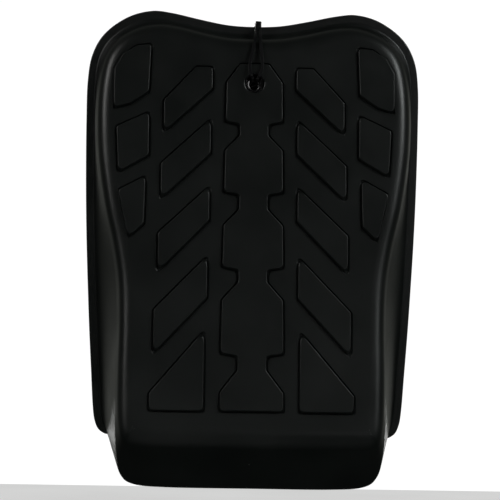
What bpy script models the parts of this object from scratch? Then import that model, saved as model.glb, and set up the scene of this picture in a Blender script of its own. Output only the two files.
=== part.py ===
"""Kick paddle: a wedge-shaped moulded striking pad that is worn on one forearm.

A moulded shell filled with foam is closed by a back board. Behind the board are a forearm pad, a hand grip
and two adjustable forearm straps. A cable tie runs through the hanging hole near the top.

Dimensions are in millimetres and are turned into metres when a mesh is made. +X is to the right seen from the
front, +Y points from the striking face to the wearer and +Z is up. Heights are measured from the tip of the
toe, and the origin of the finished part is on the axis of the hanging hole, at the rear of the back board.
"""

import math

import bmesh
import bpy
import numpy as np

MM = 0.001
GAP = 0.3
CORE_GAP = 1.9
CORE_EDGE = 0.5

# Overall shape. A depth is measured forwards from the rear face of the back board.
TOP_CENTRE = 362.0
HOLE_HEIGHT = 315.0
FACE_TILT = math.radians(12.0)
TOP_DEPTH = 27.0
RIM_STEP = 16.0
TOE_DEPTH = 55.0
TOE_BLEND = 55.0
RIDGE_LIFT = 37.0
RIDGE_BLEND = 100.0

# Skin and board.
BOARD = 6.0
SKIN = 3.0
FLANGE_WIDTH = 6.5
WALL_RUN = 4.0
ROLL = 10.0
ROLL_START = 9.0
CREASE_ROUND = 1.5
TIP_ROUND = 6.0
TIP_HEIGHT = 45.0
STEPS = 2

# Sides of round pieces: large, middling and small.
LARGE_ROUND = 24
ROUND = 16
SMALL_ROUND = 8

# Right half of each outline, from the middle of the top edge to that of the bottom edge, as (x, height).
# The two lists go round together: each flange point faces the crease point of the same place in the list.
FLANGE_POINTS = (
    (0, 362), (21, 363), (43, 367), (65, 371.7), (82, 373.1), (101, 367.6), (118.8, 354.4), (128.5, 337),
    (131.8, 315), (132.2, 285), (132, 255), (131.4, 222), (130.3, 188), (128.8, 155), (127, 120),
    (124.8, 85), (123.2, 60), (121.2, 46), (116.2, 37.8), (104, 35), (60, 34.4), (0, 34.4),
)
CREASE_POINTS = (
    (0, 353.2), (20, 353.9), (40, 357.5), (60, 362.2), (77, 363.9), (94, 360), (108.5, 351), (118.5, 337),
    (123.3, 318), (125, 292), (123.6, 258), (118.2, 220), (110.8, 187), (106.2, 158), (105, 125),
    (105.3, 88), (104.8, 54), (103.2, 23), (99.5, 6), (90, -1.8), (64, -4.1), (0, -4.3),
)

# Tread blocks on the striking face, as (x, height) corners of the right-hand ones.
TREAD_HEIGHT = 2.4
TREAD_ROOT = 1.2
TREAD_DRAFT = 0.5
TREAD_BEVEL = 0.9
TREAD_CORNER = 3.0
SLANTED_BLOCKS = (
    ((33, 327.5), (46, 327.5), (71, 300.5), (71, 275), (33, 310)),
    ((33.9, 286.5), (72.6, 250.5), (72.6, 222.5), (33.9, 259)),
    ((34.3, 233.5), (74, 196), (74, 166), (34.3, 206.5)),
    ((35.3, 179), (76.5, 136.5), (76.5, 102.5), (35.3, 146.5)),
    ((37, 121.5), (79, 72.5), (79, 59.8), (37, 59.8)),
)
OUTER_BLOCKS = (
    ((81.5, 345), (93, 343.5), (104, 336.5), (110.4, 325), (110.4, 293.5), (97, 297.5), (83, 307)),
    ((108, 279), (82.4, 291), (82.4, 256.5), (106, 243)),
    ((105.7, 229), (84.4, 240.5), (85.2, 203), (97.5, 192)),
)
SPINE_TOP = 330.5
SPINE_CHAMFER = 15.0
SPINE_NECK = 11.2
SPINE_WIDE_TOP = 22.0
SPINE_WIDE_BOTTOM = 24.8
# Each wide section of the spine: the height where it ends, where the neck under it ends, and where the next
# section is fully wide.
SPINE_STEPS = ((284.5, 273.5, 262), (229, 215.5, 203), (170.5, 159, 145), (104, 91, 74))
SPINE_BOTTOM = 60.0

# Hanging hole: a blind cup with a slot for the cable tie in its floor.
HOLE_FRONT = 7.0
HOLE_REAR = 5.0
CUP_WALL = 1.2
CUP_FLOOR = 1.5
SLOT_HALF = 3.5
SLOT_CLEAR = 0.45

# Cable tie.
TIE_THICK = 1.2
TIE_WIDE = 2.4
TIE_CLEAR = 1.0
TIE_LEAN = math.radians(3.5)
TIE_HEAD = (4.8, 5.6, 5.6)
TIE_HEAD_FRONT = 12.5

# Forearm pad.
PAD_HALF = 52.0
PAD_BOTTOM = 32.0
PAD_TOP = 226.0
PAD_VALLEY = 15.0
PAD_SIDE = 24.0
PAD_EDGE = 12.0

# Hand grip.
GRIP_HEIGHT = 266.0
GRIP_OUT = 52.0
GRIP_HALF = 53.0
SLEEVE_RADIUS = 15.5
ROD_RADIUS = 8.0
BRACKET_THICK = 12.0
BRACKET_CHEEK = 16.5
FOOT_HALF = 33.0
FOOT_WIDE = 28.0
FOOT_THICK = 5.0
FOOT_BOLT_X = 74.0
FOOT_BOLT_SPREAD = 21.0

# Forearm straps.
STRAP_HEIGHTS = {"upper": 178.0, "lower": 92.0}
WEB = 2.0
WEB_HALF = 25.0
ARCH_HALF = 60.0
ARCH_START = 32.0
ARCH_RISE = 46.0
FOOT_BEND = 12.0
STRAP_END = 99.0
BAR_X = 66.0
KEEPER_BAR_Y = 8.0
WIRE = 2.0
LOOP_RADIUS = 6.0
PATCH = 1.2
TAB_OFFSET = WEB + 2 * PATCH + 3 * GAP
TAB_START = 24.0
TAB_END = 104.0
RING_HALF = 29.0
PLATE_X = 88.0
PLATE_HALF = 8.0
PLATE_THICK = 2.0
PLATE_BOLT_SPREAD = 15.0

# Bolts and tee nuts, all alike.
SHANK = 2.4
SHANK_LENGTH = 16.0
HEAD_RADIUS = 5.0
HEAD_HEIGHT = 2.8
BARREL = 3.5
NUT_FLANGE = 8.5
NUT_THICK = 1.5
POCKET_DEPTH = 14.0

FACE_NORMAL = np.array([0.0, -math.cos(FACE_TILT), math.sin(FACE_TILT)])


# ---------------------------------------------------------------- materials


def make_material(name, colour, roughness, metallic=0.0):
    material = bpy.data.materials.new(name)
    material.use_nodes = True
    shader = material.node_tree.nodes["Principled BSDF"]
    shader.inputs["Base Color"].default_value = (*colour, 1.0)
    shader.inputs["Roughness"].default_value = roughness
    shader.inputs["Metallic"].default_value = metallic
    material.diffuse_color = (*colour, 1.0)
    return material


# ---------------------------------------------------------------- mesh helpers


def to_part(points):
    """Millimetres from the toe to metres from the hanging hole."""
    return (np.asarray(points, float) - (0.0, 0.0, HOLE_HEIGHT)) * MM


def add_mesh(name, points, faces, material=None, smooth=True, pivot=(0.0, 0.0, HOLE_HEIGHT)):
    """A new object from millimetre points, with its origin at the pivot and its faces turned outwards."""
    origin = to_part([pivot])[0]
    mesh = bpy.data.meshes.new(name)
    mesh.from_pydata([tuple(p) for p in to_part(points) - origin], [], faces)
    solid = bmesh.new()
    solid.from_mesh(mesh)
    bmesh.ops.recalc_face_normals(solid, faces=solid.faces)
    solid.to_mesh(mesh)
    solid.free()
    mesh.polygons.foreach_set("use_smooth", [smooth] * len(mesh.polygons))
    obj = bpy.data.objects.new(name, mesh)
    obj.location = origin
    if material:
        mesh.materials.append(material)
    bpy.context.scene.collection.objects.link(obj)
    return obj


def loft(rings):
    """Points and faces of the closed body that passes through the rings, with its two ends capped."""
    count = len(rings[0])
    points = np.concatenate(rings)
    faces = [tuple(range(count)), tuple(range(len(points) - count, len(points)))]
    for low in range(0, len(points) - count, count):
        for i in range(count):
            j = (i + 1) % count
            faces.append((low + i, low + j, low + count + j, low + count + i))
    return points, faces


def wrapped(rings):
    """Points and faces of the closed body whose last ring joins its first, such as a tube or a wire loop."""
    count = len(rings[0])
    points = np.concatenate(rings)
    faces = []
    for k in range(len(rings)):
        low = k * count
        high = (k + 1) % len(rings) * count
        for i in range(count):
            j = (i + 1) % count
            faces.append((low + i, low + j, high + j, high + i))
    return points, faces


def joined(bodies):
    """Points and faces of several separate bodies as one mesh."""
    points = []
    faces = []
    for body_points, body_faces in bodies:
        start = sum(len(p) for p in points)
        points.append(np.asarray(body_points, float))
        faces.extend(tuple(i + start for i in face) for face in body_faces)
    return np.concatenate(points), faces


def revolved(profile, axis, centre, segments):
    """Body of revolution of (radius, along) points. It is a tube if the profile is closed round a bore."""
    profile = np.asarray(profile, float)
    angles = np.arange(segments) * 2 * math.pi / segments
    rings = []
    for radius, along in profile:
        ring = np.zeros((segments, 3))
        others = [k for k in range(3) if k != axis]
        ring[:, axis] = along
        ring[:, others[0]] = radius * np.cos(angles)
        ring[:, others[1]] = radius * np.sin(angles)
        rings.append(ring + centre)
    return rings


def cut(obj, points, faces, operation="DIFFERENCE"):
    """Cuts the given body from the object, or joins it on, and applies the result."""
    tool = add_mesh(obj.name + "_tool", points, faces)
    tool.hide_render = True
    tool.display_type = "WIRE"
    modifier = obj.modifiers.new("shape", "BOOLEAN")
    modifier.operation = operation
    modifier.object = tool
    graph = bpy.context.evaluated_depsgraph_get()
    result = bpy.data.meshes.new_from_object(obj.evaluated_get(graph))
    obj.modifiers.remove(modifier)
    obj.data = result
    bpy.data.objects.remove(tool)


# ---------------------------------------------------------------- outlines


def spline(keys, steps):
    """Catmull-Rom curve through the keys, level at both ends, since both lie on the mid-plane."""
    keys = np.asarray(keys, float)
    before = keys[1] * (-1, 1)
    after = keys[-2] * (-1, 1)
    padded = np.vstack([before, keys, after])
    t = np.arange(steps)[:, None] / steps
    curve = []
    for a, b, c, d in zip(padded, padded[1:], padded[2:], padded[3:]):
        square = 2 * a - 5 * b + 4 * c - d
        cube = 3 * (b - c) + d - a
        curve.append(0.5 * (2 * b + (c - a) * t + square * t**2 + cube * t**3))
    return np.vstack([*curve, keys[-1:]])


def outline(keys, steps=STEPS):
    """Closed symmetric outline: down the right side and up the left."""
    right = spline(keys, steps)
    left = right[-2:0:-1] * (-1, 1)
    return np.vstack([right, left])


def inward(curve, distance):
    """The closed clockwise outline moved inwards."""
    along = np.roll(curve, -1, axis=0) - np.roll(curve, 1, axis=0)
    along /= np.linalg.norm(along, axis=1)[:, None]
    return curve + distance * np.column_stack([along[:, 1], -along[:, 0]])


def rounded(corners, radius, steps=1):
    """Outline of a polygon with its corners rounded. A corner between short sides gets a smaller round."""
    corners = np.asarray(corners, float)
    curve = []
    t = np.linspace(0, 1, steps + 1)[:, None]
    for before, corner, after in zip(np.roll(corners, 1, axis=0), corners, np.roll(corners, -1, axis=0)):
        back = before - corner
        ahead = after - corner
        reach = min(radius, 0.45 * np.linalg.norm(back), 0.45 * np.linalg.norm(ahead))
        start = corner + back / np.linalg.norm(back) * reach
        end = corner + ahead / np.linalg.norm(ahead) * reach
        curve.append((1 - t) ** 2 * start + 2 * t * (1 - t) * corner + t**2 * end)
    return np.vstack(curve)


def inset_polygon(corners, distance):
    """Corners of the clockwise polygon with every side moved inwards."""
    corners = np.asarray(corners, float)
    ahead = np.roll(corners, -1, axis=0) - corners
    ahead /= np.linalg.norm(ahead, axis=1)[:, None]
    normal = np.column_stack([ahead[:, 1], -ahead[:, 0]])
    before = np.roll(normal, 1, axis=0)
    share = distance / (1 + (normal * before).sum(axis=1))
    return corners + (normal + before) * share[:, None]


def clockwise(corners):
    corners = np.asarray(corners, float)
    x, height = corners.T
    area = (x * np.roll(height, -1) - np.roll(x, -1) * height).sum()
    return corners if area < 0 else corners[::-1]


def mirrored(corners):
    return [(-x, height) for x, height in reversed(corners)]


# ---------------------------------------------------------------- moulded front


def face_depth(height):
    """Depth of the flat striking face."""
    return TOP_DEPTH + (TOP_CENTRE - height) * math.tan(FACE_TILT)


def crease_depth(height):
    """Depth of the crease. It follows the striking face and turns back to the tip of the toe."""
    fall = face_depth(0) - RIM_STEP - TOE_DEPTH
    return face_depth(height) - RIM_STEP - fall * np.clip(1 - height / TOE_BLEND, 0, 1) ** 2


def at_depth(curve, depth):
    """Outline (x, height) placed in space at the given depth."""
    return np.column_stack([curve[:, 0], -depth * np.ones(len(curve)), curve[:, 1]])


def lifted(curve):
    """The outline with its bottom raised to the ridge between the striking face and the toe."""
    height = curve[:, 1]
    rise = RIDGE_LIFT * np.clip(1 - height / RIDGE_BLEND, 0, 1) ** 2
    return np.column_stack([curve[:, 0], height + rise])


def towards(start, end, distance):
    span = end - start
    return start + span * (np.reshape(distance, (-1, 1)) / np.linalg.norm(span, axis=1)[:, None])


def bend(start, corner, end, steps):
    """Rings of the round that replaces a corner line."""
    parts = np.linspace(0, 1, steps + 1)
    return [(1 - t) ** 2 * start + 2 * t * (1 - t) * corner + t**2 * end for t in parts]


def skin_rings(steps=STEPS):
    """Rings of the outer surface, from the front edge of the flange to the rim of the flat face."""
    flange = outline(FLANGE_POINTS, steps)
    crease = outline(CREASE_POINTS, steps)
    corner = lifted(inward(crease, WALL_RUN))
    rim = inward(corner, ROLL)
    flange_front = BOARD + GAP + SKIN
    edge = at_depth(flange, flange_front)
    foot = at_depth(inward(flange, FLANGE_WIDTH), flange_front)
    crease_line = at_depth(crease, crease_depth(crease[:, 1]))
    corner_line = at_depth(corner, face_depth(corner[:, 1]))
    rim_line = at_depth(rim, face_depth(rim[:, 1]))
    soft = CREASE_ROUND + (TIP_ROUND - CREASE_ROUND) * np.clip(1 - crease[:, 1] / TIP_HEIGHT, 0, 1)
    low = bend(towards(crease_line, foot, soft), crease_line, towards(crease_line, corner_line, soft), 1)
    high = bend(towards(corner_line, crease_line, ROLL_START), corner_line, rim_line, 3)
    return [edge, foot, 0.5 * (foot + low[0]), *low, *high]


def under(rings, distance):
    """The rings moved into the body along the surface normal. The last ring stays parallel to the face."""
    surface = np.array(rings)
    around = np.roll(surface, -1, axis=1) - np.roll(surface, 1, axis=1)
    across = np.gradient(surface, axis=0)
    normal = np.cross(around, across)
    normal /= np.linalg.norm(normal, axis=2)[:, :, None]
    inner = surface + distance * normal
    inner[-1] = surface[-1] - distance * FACE_NORMAL
    return inner


def rear_ring(outer, inner):
    """Edge of an inner surface at the board: the inner ring run on, parallel to the wall outside it."""
    along = outer[1] - outer[2]
    share = (-BOARD - GAP - inner[2][:, 1]) / along[:, 1]
    return inner[2] + along * share[:, None]


def tread_block(corners):
    """Raised block with a drafted wall and a bevelled top edge, rooted in the skin."""
    levels = (
        (0.0, -TREAD_ROOT),
        (TREAD_DRAFT, TREAD_HEIGHT - TREAD_BEVEL),
        (TREAD_DRAFT + TREAD_BEVEL, TREAD_HEIGHT),
    )
    rings = []
    for inset, level in levels:
        ring = rounded(inset_polygon(clockwise(corners), inset), TREAD_CORNER)
        rings.append(at_depth(ring, face_depth(ring[:, 1])) + FACE_NORMAL * level)
    return loft(rings)


def spine_corners():
    """Right half of the notched spine from top to bottom, followed by the mirrored left half."""
    half = [(SPINE_NECK, SPINE_TOP), (SPINE_WIDE_TOP, SPINE_TOP - SPINE_CHAMFER)]
    for wide_end, neck_end, wide_again in SPINE_STEPS:
        share = (SPINE_TOP - wide_end) / (SPINE_TOP - SPINE_BOTTOM)
        wide = SPINE_WIDE_TOP + (SPINE_WIDE_BOTTOM - SPINE_WIDE_TOP) * share
        half += [(wide, wide_end), (SPINE_NECK, wide_end - 2), (SPINE_NECK, neck_end), (wide, wide_again)]
    half.append((SPINE_WIDE_BOTTOM, SPINE_BOTTOM))
    return half + mirrored(half)


def tread():
    blocks = [tread_block(spine_corners())]
    for corners in SLANTED_BLOCKS + OUTER_BLOCKS:
        blocks.append(tread_block(corners))
        blocks.append(tread_block(mirrored(corners)))
    return joined(blocks)


def cup_radius(depth):
    """Inner radius of the tapered hanging hole."""
    return HOLE_REAR + (HOLE_FRONT - HOLE_REAR) * depth / face_depth(HOLE_HEIGHT)


def hole_cutter():
    """Tapered plug that clears the cup of the hanging hole, from the board forwards."""
    ends = []
    for depth in (face_depth(HOLE_HEIGHT) + 8, BOARD):
        ends.append((cup_radius(depth) + CUP_WALL + GAP, -depth))
    return loft(revolved(ends, 1, (0, 0, HOLE_HEIGHT), LARGE_ROUND))


def slot_cutter():
    """Flat slot for the two turns of the tie, through the cup's floor and the board."""
    middle = HOLE_HEIGHT + HOLE_REAR - TIE_THICK - 0.6
    half = TIE_THICK / 2 + SLOT_CLEAR
    corners = [(-SLOT_HALF, -half), (SLOT_HALF, -half), (SLOT_HALF, half), (-SLOT_HALF, half)]
    return loft([np.array([(x, y, middle + z) for x, z in corners]) for y in (-BOARD - 2 - CUP_FLOOR, 2)])


def build_shell(material):
    outer = skin_rings()
    inner = under(outer, SKIN)
    edge = outline(FLANGE_POINTS)
    rings = [*outer[::-1], at_depth(edge, BOARD + GAP), rear_ring(outer, inner), *inner[2:]]
    shell = add_mesh("strike_shell", *loft(rings), material)
    cut(shell, *tread(), operation="UNION")
    cut(shell, *hole_cutter())
    return shell


def build_core(material, bolts):
    outer = skin_rings()
    inner = under(outer, SKIN + CORE_GAP)
    rear = inward(rear_ring(outer, inner)[:, [0, 2]], CORE_GAP)
    inner[:, :, 1] = np.minimum(inner[:, :, 1], -BOARD - GAP - CORE_EDGE)
    core = add_mesh("foam_core", *loft([at_depth(rear, BOARD + GAP), *inner[2:]]), material)
    pockets = []
    for x, _, height in bolts:
        ends = ((NUT_FLANGE + GAP, -BOARD + 2), (NUT_FLANGE + GAP, -POCKET_DEPTH))
        pockets.append(loft(revolved(ends, 1, (x, 0, height), SMALL_ROUND)))
    cut(core, *joined(pockets))
    cut(core, *hole_cutter())
    return core


def build_board(material, bolts):
    edge = inward(outline(FLANGE_POINTS), 1.0)
    inset = inward(edge, 1.0)
    rings = [at_depth(inset, 0.0), at_depth(edge, 1.0), at_depth(edge, BOARD)]
    board = add_mesh("back_board", *loft(rings), material)
    holes = []
    for x, _, height in bolts:
        ends = ((BARREL + GAP, 3), (BARREL + GAP, -BOARD - 3))
        holes.append(loft(revolved(ends, 1, (x, 0, height), SMALL_ROUND)))
    cut(board, *joined(holes))
    cut(board, *slot_cutter())
    return board


# ---------------------------------------------------------------- hanging hole and cable tie


def build_hole_cup(material):
    """Tapered cup that lines the hanging hole, with a slot for the tie in its floor."""
    centre = (0, 0, HOLE_HEIGHT)
    front = face_depth(HOLE_HEIGHT) + TREAD_HEIGHT - 1.5
    rear = BOARD + GAP
    profile = (
        (cup_radius(rear) + CUP_WALL, -rear),
        (cup_radius(front) + CUP_WALL, -front),
        (cup_radius(front), -front),
        (cup_radius(rear), -rear - CUP_FLOOR),
    )
    cup = add_mesh("hole_cup", *loft(revolved(profile, 1, centre, LARGE_ROUND)), material)
    cut(cup, *slot_cutter())
    return cup


def tie_path():
    """Centre line of one turn of the tie as (x, y, height), starting above the top edge."""
    over = TOP_CENTRE + TIE_CLEAR + TIE_THICK / 2
    behind = TIE_CLEAR + TIE_THICK / 2
    face = face_depth(HOLE_HEIGHT) + TREAD_HEIGHT
    inside = HOLE_REAR - TIE_THICK - 0.6
    return (
        (1.3, behind - 2, over),
        (1.3, -9.0, over),
        (1.3, -13.0, over - 0.6),
        (1.4, -17.0, TOP_CENTRE - 2.5),
        (1.9, -26.5, TOP_CENTRE - 9),
        (2.6, -31.5, TOP_CENTRE - 16),
        (5.0, -37.7, HOLE_HEIGHT + 15),
        (3.6, -face - 1.4, HOLE_HEIGHT + 7.6),
        (2.4, -face - 1.2, HOLE_HEIGHT + inside + 1.6),
        (1.5, -face + 2, HOLE_HEIGHT + inside),
        (1.5, 0.6, HOLE_HEIGHT + inside),
        (1.4, behind - 0.2, HOLE_HEIGHT + inside + 0.9),
        (1.3, behind, HOLE_HEIGHT + inside + 3),
        (1.3, behind, over - 2),
    )


def ribbon(path):
    """Closed flat strip along a loop of points. The strip's width lies along X."""
    path = np.asarray(path, float)
    ahead = np.roll(path, -1, axis=0) - path
    back = path - np.roll(path, 1, axis=0)
    along = ahead / np.linalg.norm(ahead, axis=1)[:, None] + back / np.linalg.norm(back, axis=1)[:, None]
    wide = np.array([1.0, 0.0, 0.0])
    thick = np.cross(along, wide)
    thick /= np.linalg.norm(thick, axis=1)[:, None]
    rings = []
    for point, normal in zip(path, thick):
        sides = [(-1, -1), (1, -1), (1, 1), (-1, 1)]
        half_wide = wide * TIE_WIDE / 2
        half_thick = normal * TIE_THICK / 2
        rings.append(np.array([point + half_wide * a + half_thick * b for a, b in sides]))
    return wrapped(rings)


def leaning(points):
    """The points turned about the axis of the hanging hole: the tie hangs a little to the right."""
    points = np.array(points, float)
    x, up = points[:, 0].copy(), points[:, 2] - HOLE_HEIGHT
    points[:, 0] = x * math.cos(TIE_LEAN) + up * math.sin(TIE_LEAN)
    points[:, 2] = up * math.cos(TIE_LEAN) - x * math.sin(TIE_LEAN) + HOLE_HEIGHT
    return points


def build_cable_tie(material):
    """Tie that goes round twice: the turns part in front of the hole and meet in the head at the top edge."""
    turn = np.array(tie_path())
    right, faces = ribbon(turn)
    tie = add_mesh("cable_tie", leaning(right), faces, material, smooth=False)
    cut(tie, leaning(right * (-1, 1, 1)), faces, operation="UNION")
    wide, deep, tall = TIE_HEAD
    middle = turn[1, 2] - 0.2
    base = [(-wide / 2, -deep / 2), (wide / 2, -deep / 2), (wide / 2, deep / 2), (-wide / 2, deep / 2)]
    rings = []
    for height in (middle - tall / 2, middle + tall / 2):
        rings.append(leaning([(x, y - TIE_HEAD_FRONT, height) for x, y in base]))
    cut(tie, *loft(rings), operation="UNION")
    return tie


# ---------------------------------------------------------------- forearm pad


def pad_height(across, up):
    """Thickness of the pad: a valley along the forearm, rounded down to nothing at the edges."""
    from_side = (1 - abs(across)) * PAD_HALF
    from_end = (1 - abs(up)) * (PAD_TOP - PAD_BOTTOM) / 2
    edge = min(1.0, from_side / PAD_EDGE, from_end / PAD_EDGE)
    crown = PAD_VALLEY + (PAD_SIDE - PAD_VALLEY) * (across * PAD_HALF / 40) ** 2
    crown = min(crown, PAD_SIDE)
    return crown * (0.35 + 0.65 * math.sqrt(max(0.0, 1 - (1 - edge) ** 2)))


def build_pad(material):
    across = np.sin(np.linspace(-1, 1, 11) * math.pi / 2)
    up = np.sin(np.linspace(-1, 1, 13) * math.pi / 2)
    middle = (PAD_TOP + PAD_BOTTOM) / 2
    reach = (PAD_TOP - PAD_BOTTOM) / 2
    top = []
    base = []
    for v in up:
        for u in across:
            narrow = 1 - 0.16 * max(0.0, abs(v) - 0.8) / 0.2 * abs(v)
            x = u * PAD_HALF * narrow
            z = middle + v * reach
            top.append((x, GAP + pad_height(u, v), z))
            base.append((x, GAP, z))
    rows, columns = len(up), len(across)
    size = rows * columns
    faces = []
    for r in range(rows - 1):
        for c in range(columns - 1):
            a = r * columns + c
            quad = (a, a + 1, a + columns + 1, a + columns)
            faces.append(quad)
            faces.append(tuple(size + i for i in quad))
    rim = [r * columns for r in range(rows)]
    rim += [(rows - 1) * columns + c for c in range(1, columns)]
    rim += [r * columns + columns - 1 for r in range(rows - 2, -1, -1)]
    rim += [c for c in range(columns - 2, 0, -1)]
    for i, j in zip(rim, rim[1:] + rim[:1]):
        faces.append((i, j, size + j, size + i))
    return add_mesh("forearm_pad", top + base, faces, material)


# ---------------------------------------------------------------- hand grip


def build_grip_sleeve(material):
    """Soft sleeve with a swell in the middle and a lip at each end."""
    stations = 7
    profile = []
    for k in range(stations):
        t = -1 + 2 * k / (stations - 1)
        swell = 1.6 * (1 - t * t) + 1.2 * max(0.0, abs(t) - 0.8) / 0.2
        profile.append((SLEEVE_RADIUS - 1.2 + swell, t * (GRIP_HALF - GAP)))
    bore = ROD_RADIUS + GAP
    profile += [(bore, GRIP_HALF - GAP), (bore, -GRIP_HALF + GAP)]
    rings = revolved(profile, 0, (0, GRIP_OUT, GRIP_HEIGHT), ROUND)
    return add_mesh("grip_sleeve", *wrapped(rings), material)


def build_grip_rod(material):
    reach = GRIP_HALF + BRACKET_THICK - 3
    ends = [
        (ROD_RADIUS - 1, -reach),
        (ROD_RADIUS, -reach + 1),
        (ROD_RADIUS, reach - 1),
        (ROD_RADIUS - 1, reach),
    ]
    return add_mesh("grip_rod", *loft(revolved(ends, 0, (0, GRIP_OUT, GRIP_HEIGHT), ROUND)), material)


def build_bracket(side, material):
    """Moulded cheek that holds one end of the rod, on a foot with two bolt holes."""
    sign = 1 if side == "right" else -1
    angles = np.linspace(0, math.pi, 9)
    turns = [(math.sin(a), math.cos(a)) for a in angles]
    cheek = [(GRIP_OUT + BRACKET_CHEEK * out, GRIP_HEIGHT + BRACKET_CHEEK * up) for out, up in turns]
    foot_top = GAP + 1.0
    cheek = [(foot_top, GRIP_HEIGHT + FOOT_HALF - 5), (FOOT_THICK + 9, GRIP_HEIGHT + 21), *cheek]
    cheek += [(FOOT_THICK + 9, GRIP_HEIGHT - 21), (foot_top, GRIP_HEIGHT - FOOT_HALF + 5)]
    rings = []
    for x, shrink in ((0, 1.0), (1, 0), (BRACKET_THICK - 1, 0), (BRACKET_THICK, 1.0)):
        middle = np.array([GRIP_OUT * 0.6, GRIP_HEIGHT])
        ring = [middle + (np.array(p) - middle) * (1 - 0.03 * shrink) for p in cheek]
        rings.append(np.array([(sign * (GRIP_HALF + x), y, z) for y, z in ring]))
    bracket = add_mesh("grip_bracket_" + side, *loft(rings), material)
    half = FOOT_WIDE / 2
    base = [(-half, -FOOT_HALF), (half, -FOOT_HALF), (half, FOOT_HALF), (-half, FOOT_HALF)]
    centre = np.array([sign * (GRIP_HALF + half), GRIP_HEIGHT])
    wide = rounded(base, 7.0) + centre
    narrow = (wide - centre) * (0.93, 0.97) + centre
    foot = [at_depth(wide, -GAP), at_depth(wide, -FOOT_THICK + 1), at_depth(narrow, -FOOT_THICK - GAP)]
    cut(bracket, *loft(foot), operation="UNION")
    reach = GRIP_HALF + BRACKET_THICK - 2.5
    bore = ((ROD_RADIUS + GAP, 0), (ROD_RADIUS + GAP, sign * reach))
    cut(bracket, *loft(revolved(bore, 0, (0, GRIP_OUT, GRIP_HEIGHT), ROUND)))
    holes = []
    for shift in (-FOOT_BOLT_SPREAD, FOOT_BOLT_SPREAD):
        ends = ((SHANK + GAP, -2), (SHANK + GAP, FOOT_THICK + 3))
        holes.append(loft(revolved(ends, 1, (sign * FOOT_BOLT_X, 0, GRIP_HEIGHT + shift), SMALL_ROUND)))
    cut(bracket, *joined(holes))
    return bracket


# ---------------------------------------------------------------- forearm straps


def arc(centre, radius, start, end, steps):
    angles = np.radians(np.linspace(start, end, steps + 1))
    return [(centre[0] + radius * math.cos(a), centre[1] + radius * math.sin(a)) for a in angles]


def arch(offset, start, end, steps):
    """Points (x, y) on the strap's arch, moved outwards by the offset. Angles in degrees from +X."""
    curve = []
    for angle in np.radians(np.linspace(start, end, steps + 1)):
        point = np.array([ARCH_HALF * math.cos(angle), ARCH_START + ARCH_RISE * math.sin(angle)])
        normal = np.array([math.cos(angle) / ARCH_HALF, math.sin(angle) / ARCH_RISE])
        curve.append(tuple(point + offset * normal / np.linalg.norm(normal)))
    return curve


def web_points(path, thick, height, half):
    """Body of a flat strip of webbing that follows a path of (x, y) points, with its width along Z."""
    path = np.asarray(path, float)
    along = np.gradient(path, axis=0)
    along /= np.linalg.norm(along, axis=1)[:, None]
    normal = np.column_stack([-along[:, 1], along[:, 0]])
    rings = []
    for z in (height - half, height + half):
        face = np.vstack([path + normal * thick / 2, (path - normal * thick / 2)[::-1]])
        rings.append(np.column_stack([face, np.full(len(face), z)]))
    count = len(path)
    points = np.concatenate(rings)
    total = 2 * count
    faces = []
    for i in range(count - 1):
        j = total - 1 - i
        faces.append((i, i + 1, j - 1, j))
        faces.append((total + i, total + j, total + j - 1, total + i + 1))
    for i in range(total):
        j = (i + 1) % total
        faces.append((i, total + i, total + j, j))
    return points, faces


def bolt_holes(sign, height):
    """Cutters for the two bolts that pass through a strap's anchor."""
    cutters = []
    for shift in (-PLATE_BOLT_SPREAD, PLATE_BOLT_SPREAD):
        ends = ((SHANK + GAP, -3), (SHANK + GAP, 12))
        cutters.append(loft(revolved(ends, 1, (sign * PLATE_X, 0, height + shift), SMALL_ROUND)))
    return joined(cutters)


def strap_path():
    """The strap from its left anchor over the forearm, round the ring's outer bar and back up outside."""
    lie = GAP + WEB / 2
    foot = arc((-ARCH_HALF - FOOT_BEND, lie + FOOT_BEND), FOOT_BEND, -90, 0, 3)
    over = arch(0, 180, 0, 16)
    fold = arc((BAR_X, ARCH_START), LOOP_RADIUS, 180, 360, 6)[1:]
    back = []
    for angle, share in ((5, 0.12), (10, 0.45), (15, 0.8), (20, 1.0)):
        offset = 2 * LOOP_RADIUS + (TAB_OFFSET - 2 * LOOP_RADIUS) * share
        back += arch(offset, angle, angle, 0)
    return [(-STRAP_END, lie), (-ARCH_HALF - FOOT_BEND - 8, lie), *foot, *over, *fold, *back]


def build_strap(which, height, material):
    points, faces = web_points(strap_path(), WEB, height, WEB_HALF)
    strap = add_mesh("strap_" + which, points, faces, material)
    cut(strap, *bolt_holes(-1, height))
    return strap


def build_loop_patch(which, height, material):
    """Loop side of the closure, sewn to the outside of the arch."""
    path = arch(WEB / 2 + GAP + PATCH / 2, TAB_START + 8, TAB_END + 22, 10)
    points, faces = web_points(path, PATCH, height, WEB_HALF - 2)
    return add_mesh("loop_patch_" + which, points, faces, material)


def tab_pivot(height):
    x, y = arch(TAB_OFFSET, TAB_START, TAB_START, 0)[0]
    return (x, y, height)


def build_tab(which, height, material):
    """Free end of the strap, lying on the closure."""
    path = arch(TAB_OFFSET, TAB_START, TAB_END, 9)
    points, faces = web_points(path, WEB, height, WEB_HALF)
    return add_mesh("strap_tab_" + which, points, faces, material, pivot=tab_pivot(height))


def build_hook_patch(which, height, material):
    """Hook side of the closure, sewn under the tab."""
    path = arch(TAB_OFFSET - WEB / 2 - GAP - PATCH / 2, TAB_START + 10, TAB_END - 2, 8)
    points, faces = web_points(path, PATCH, height, WEB_HALF - 2)
    return add_mesh("hook_patch_" + which, points, faces, material, pivot=tab_pivot(height))


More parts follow.
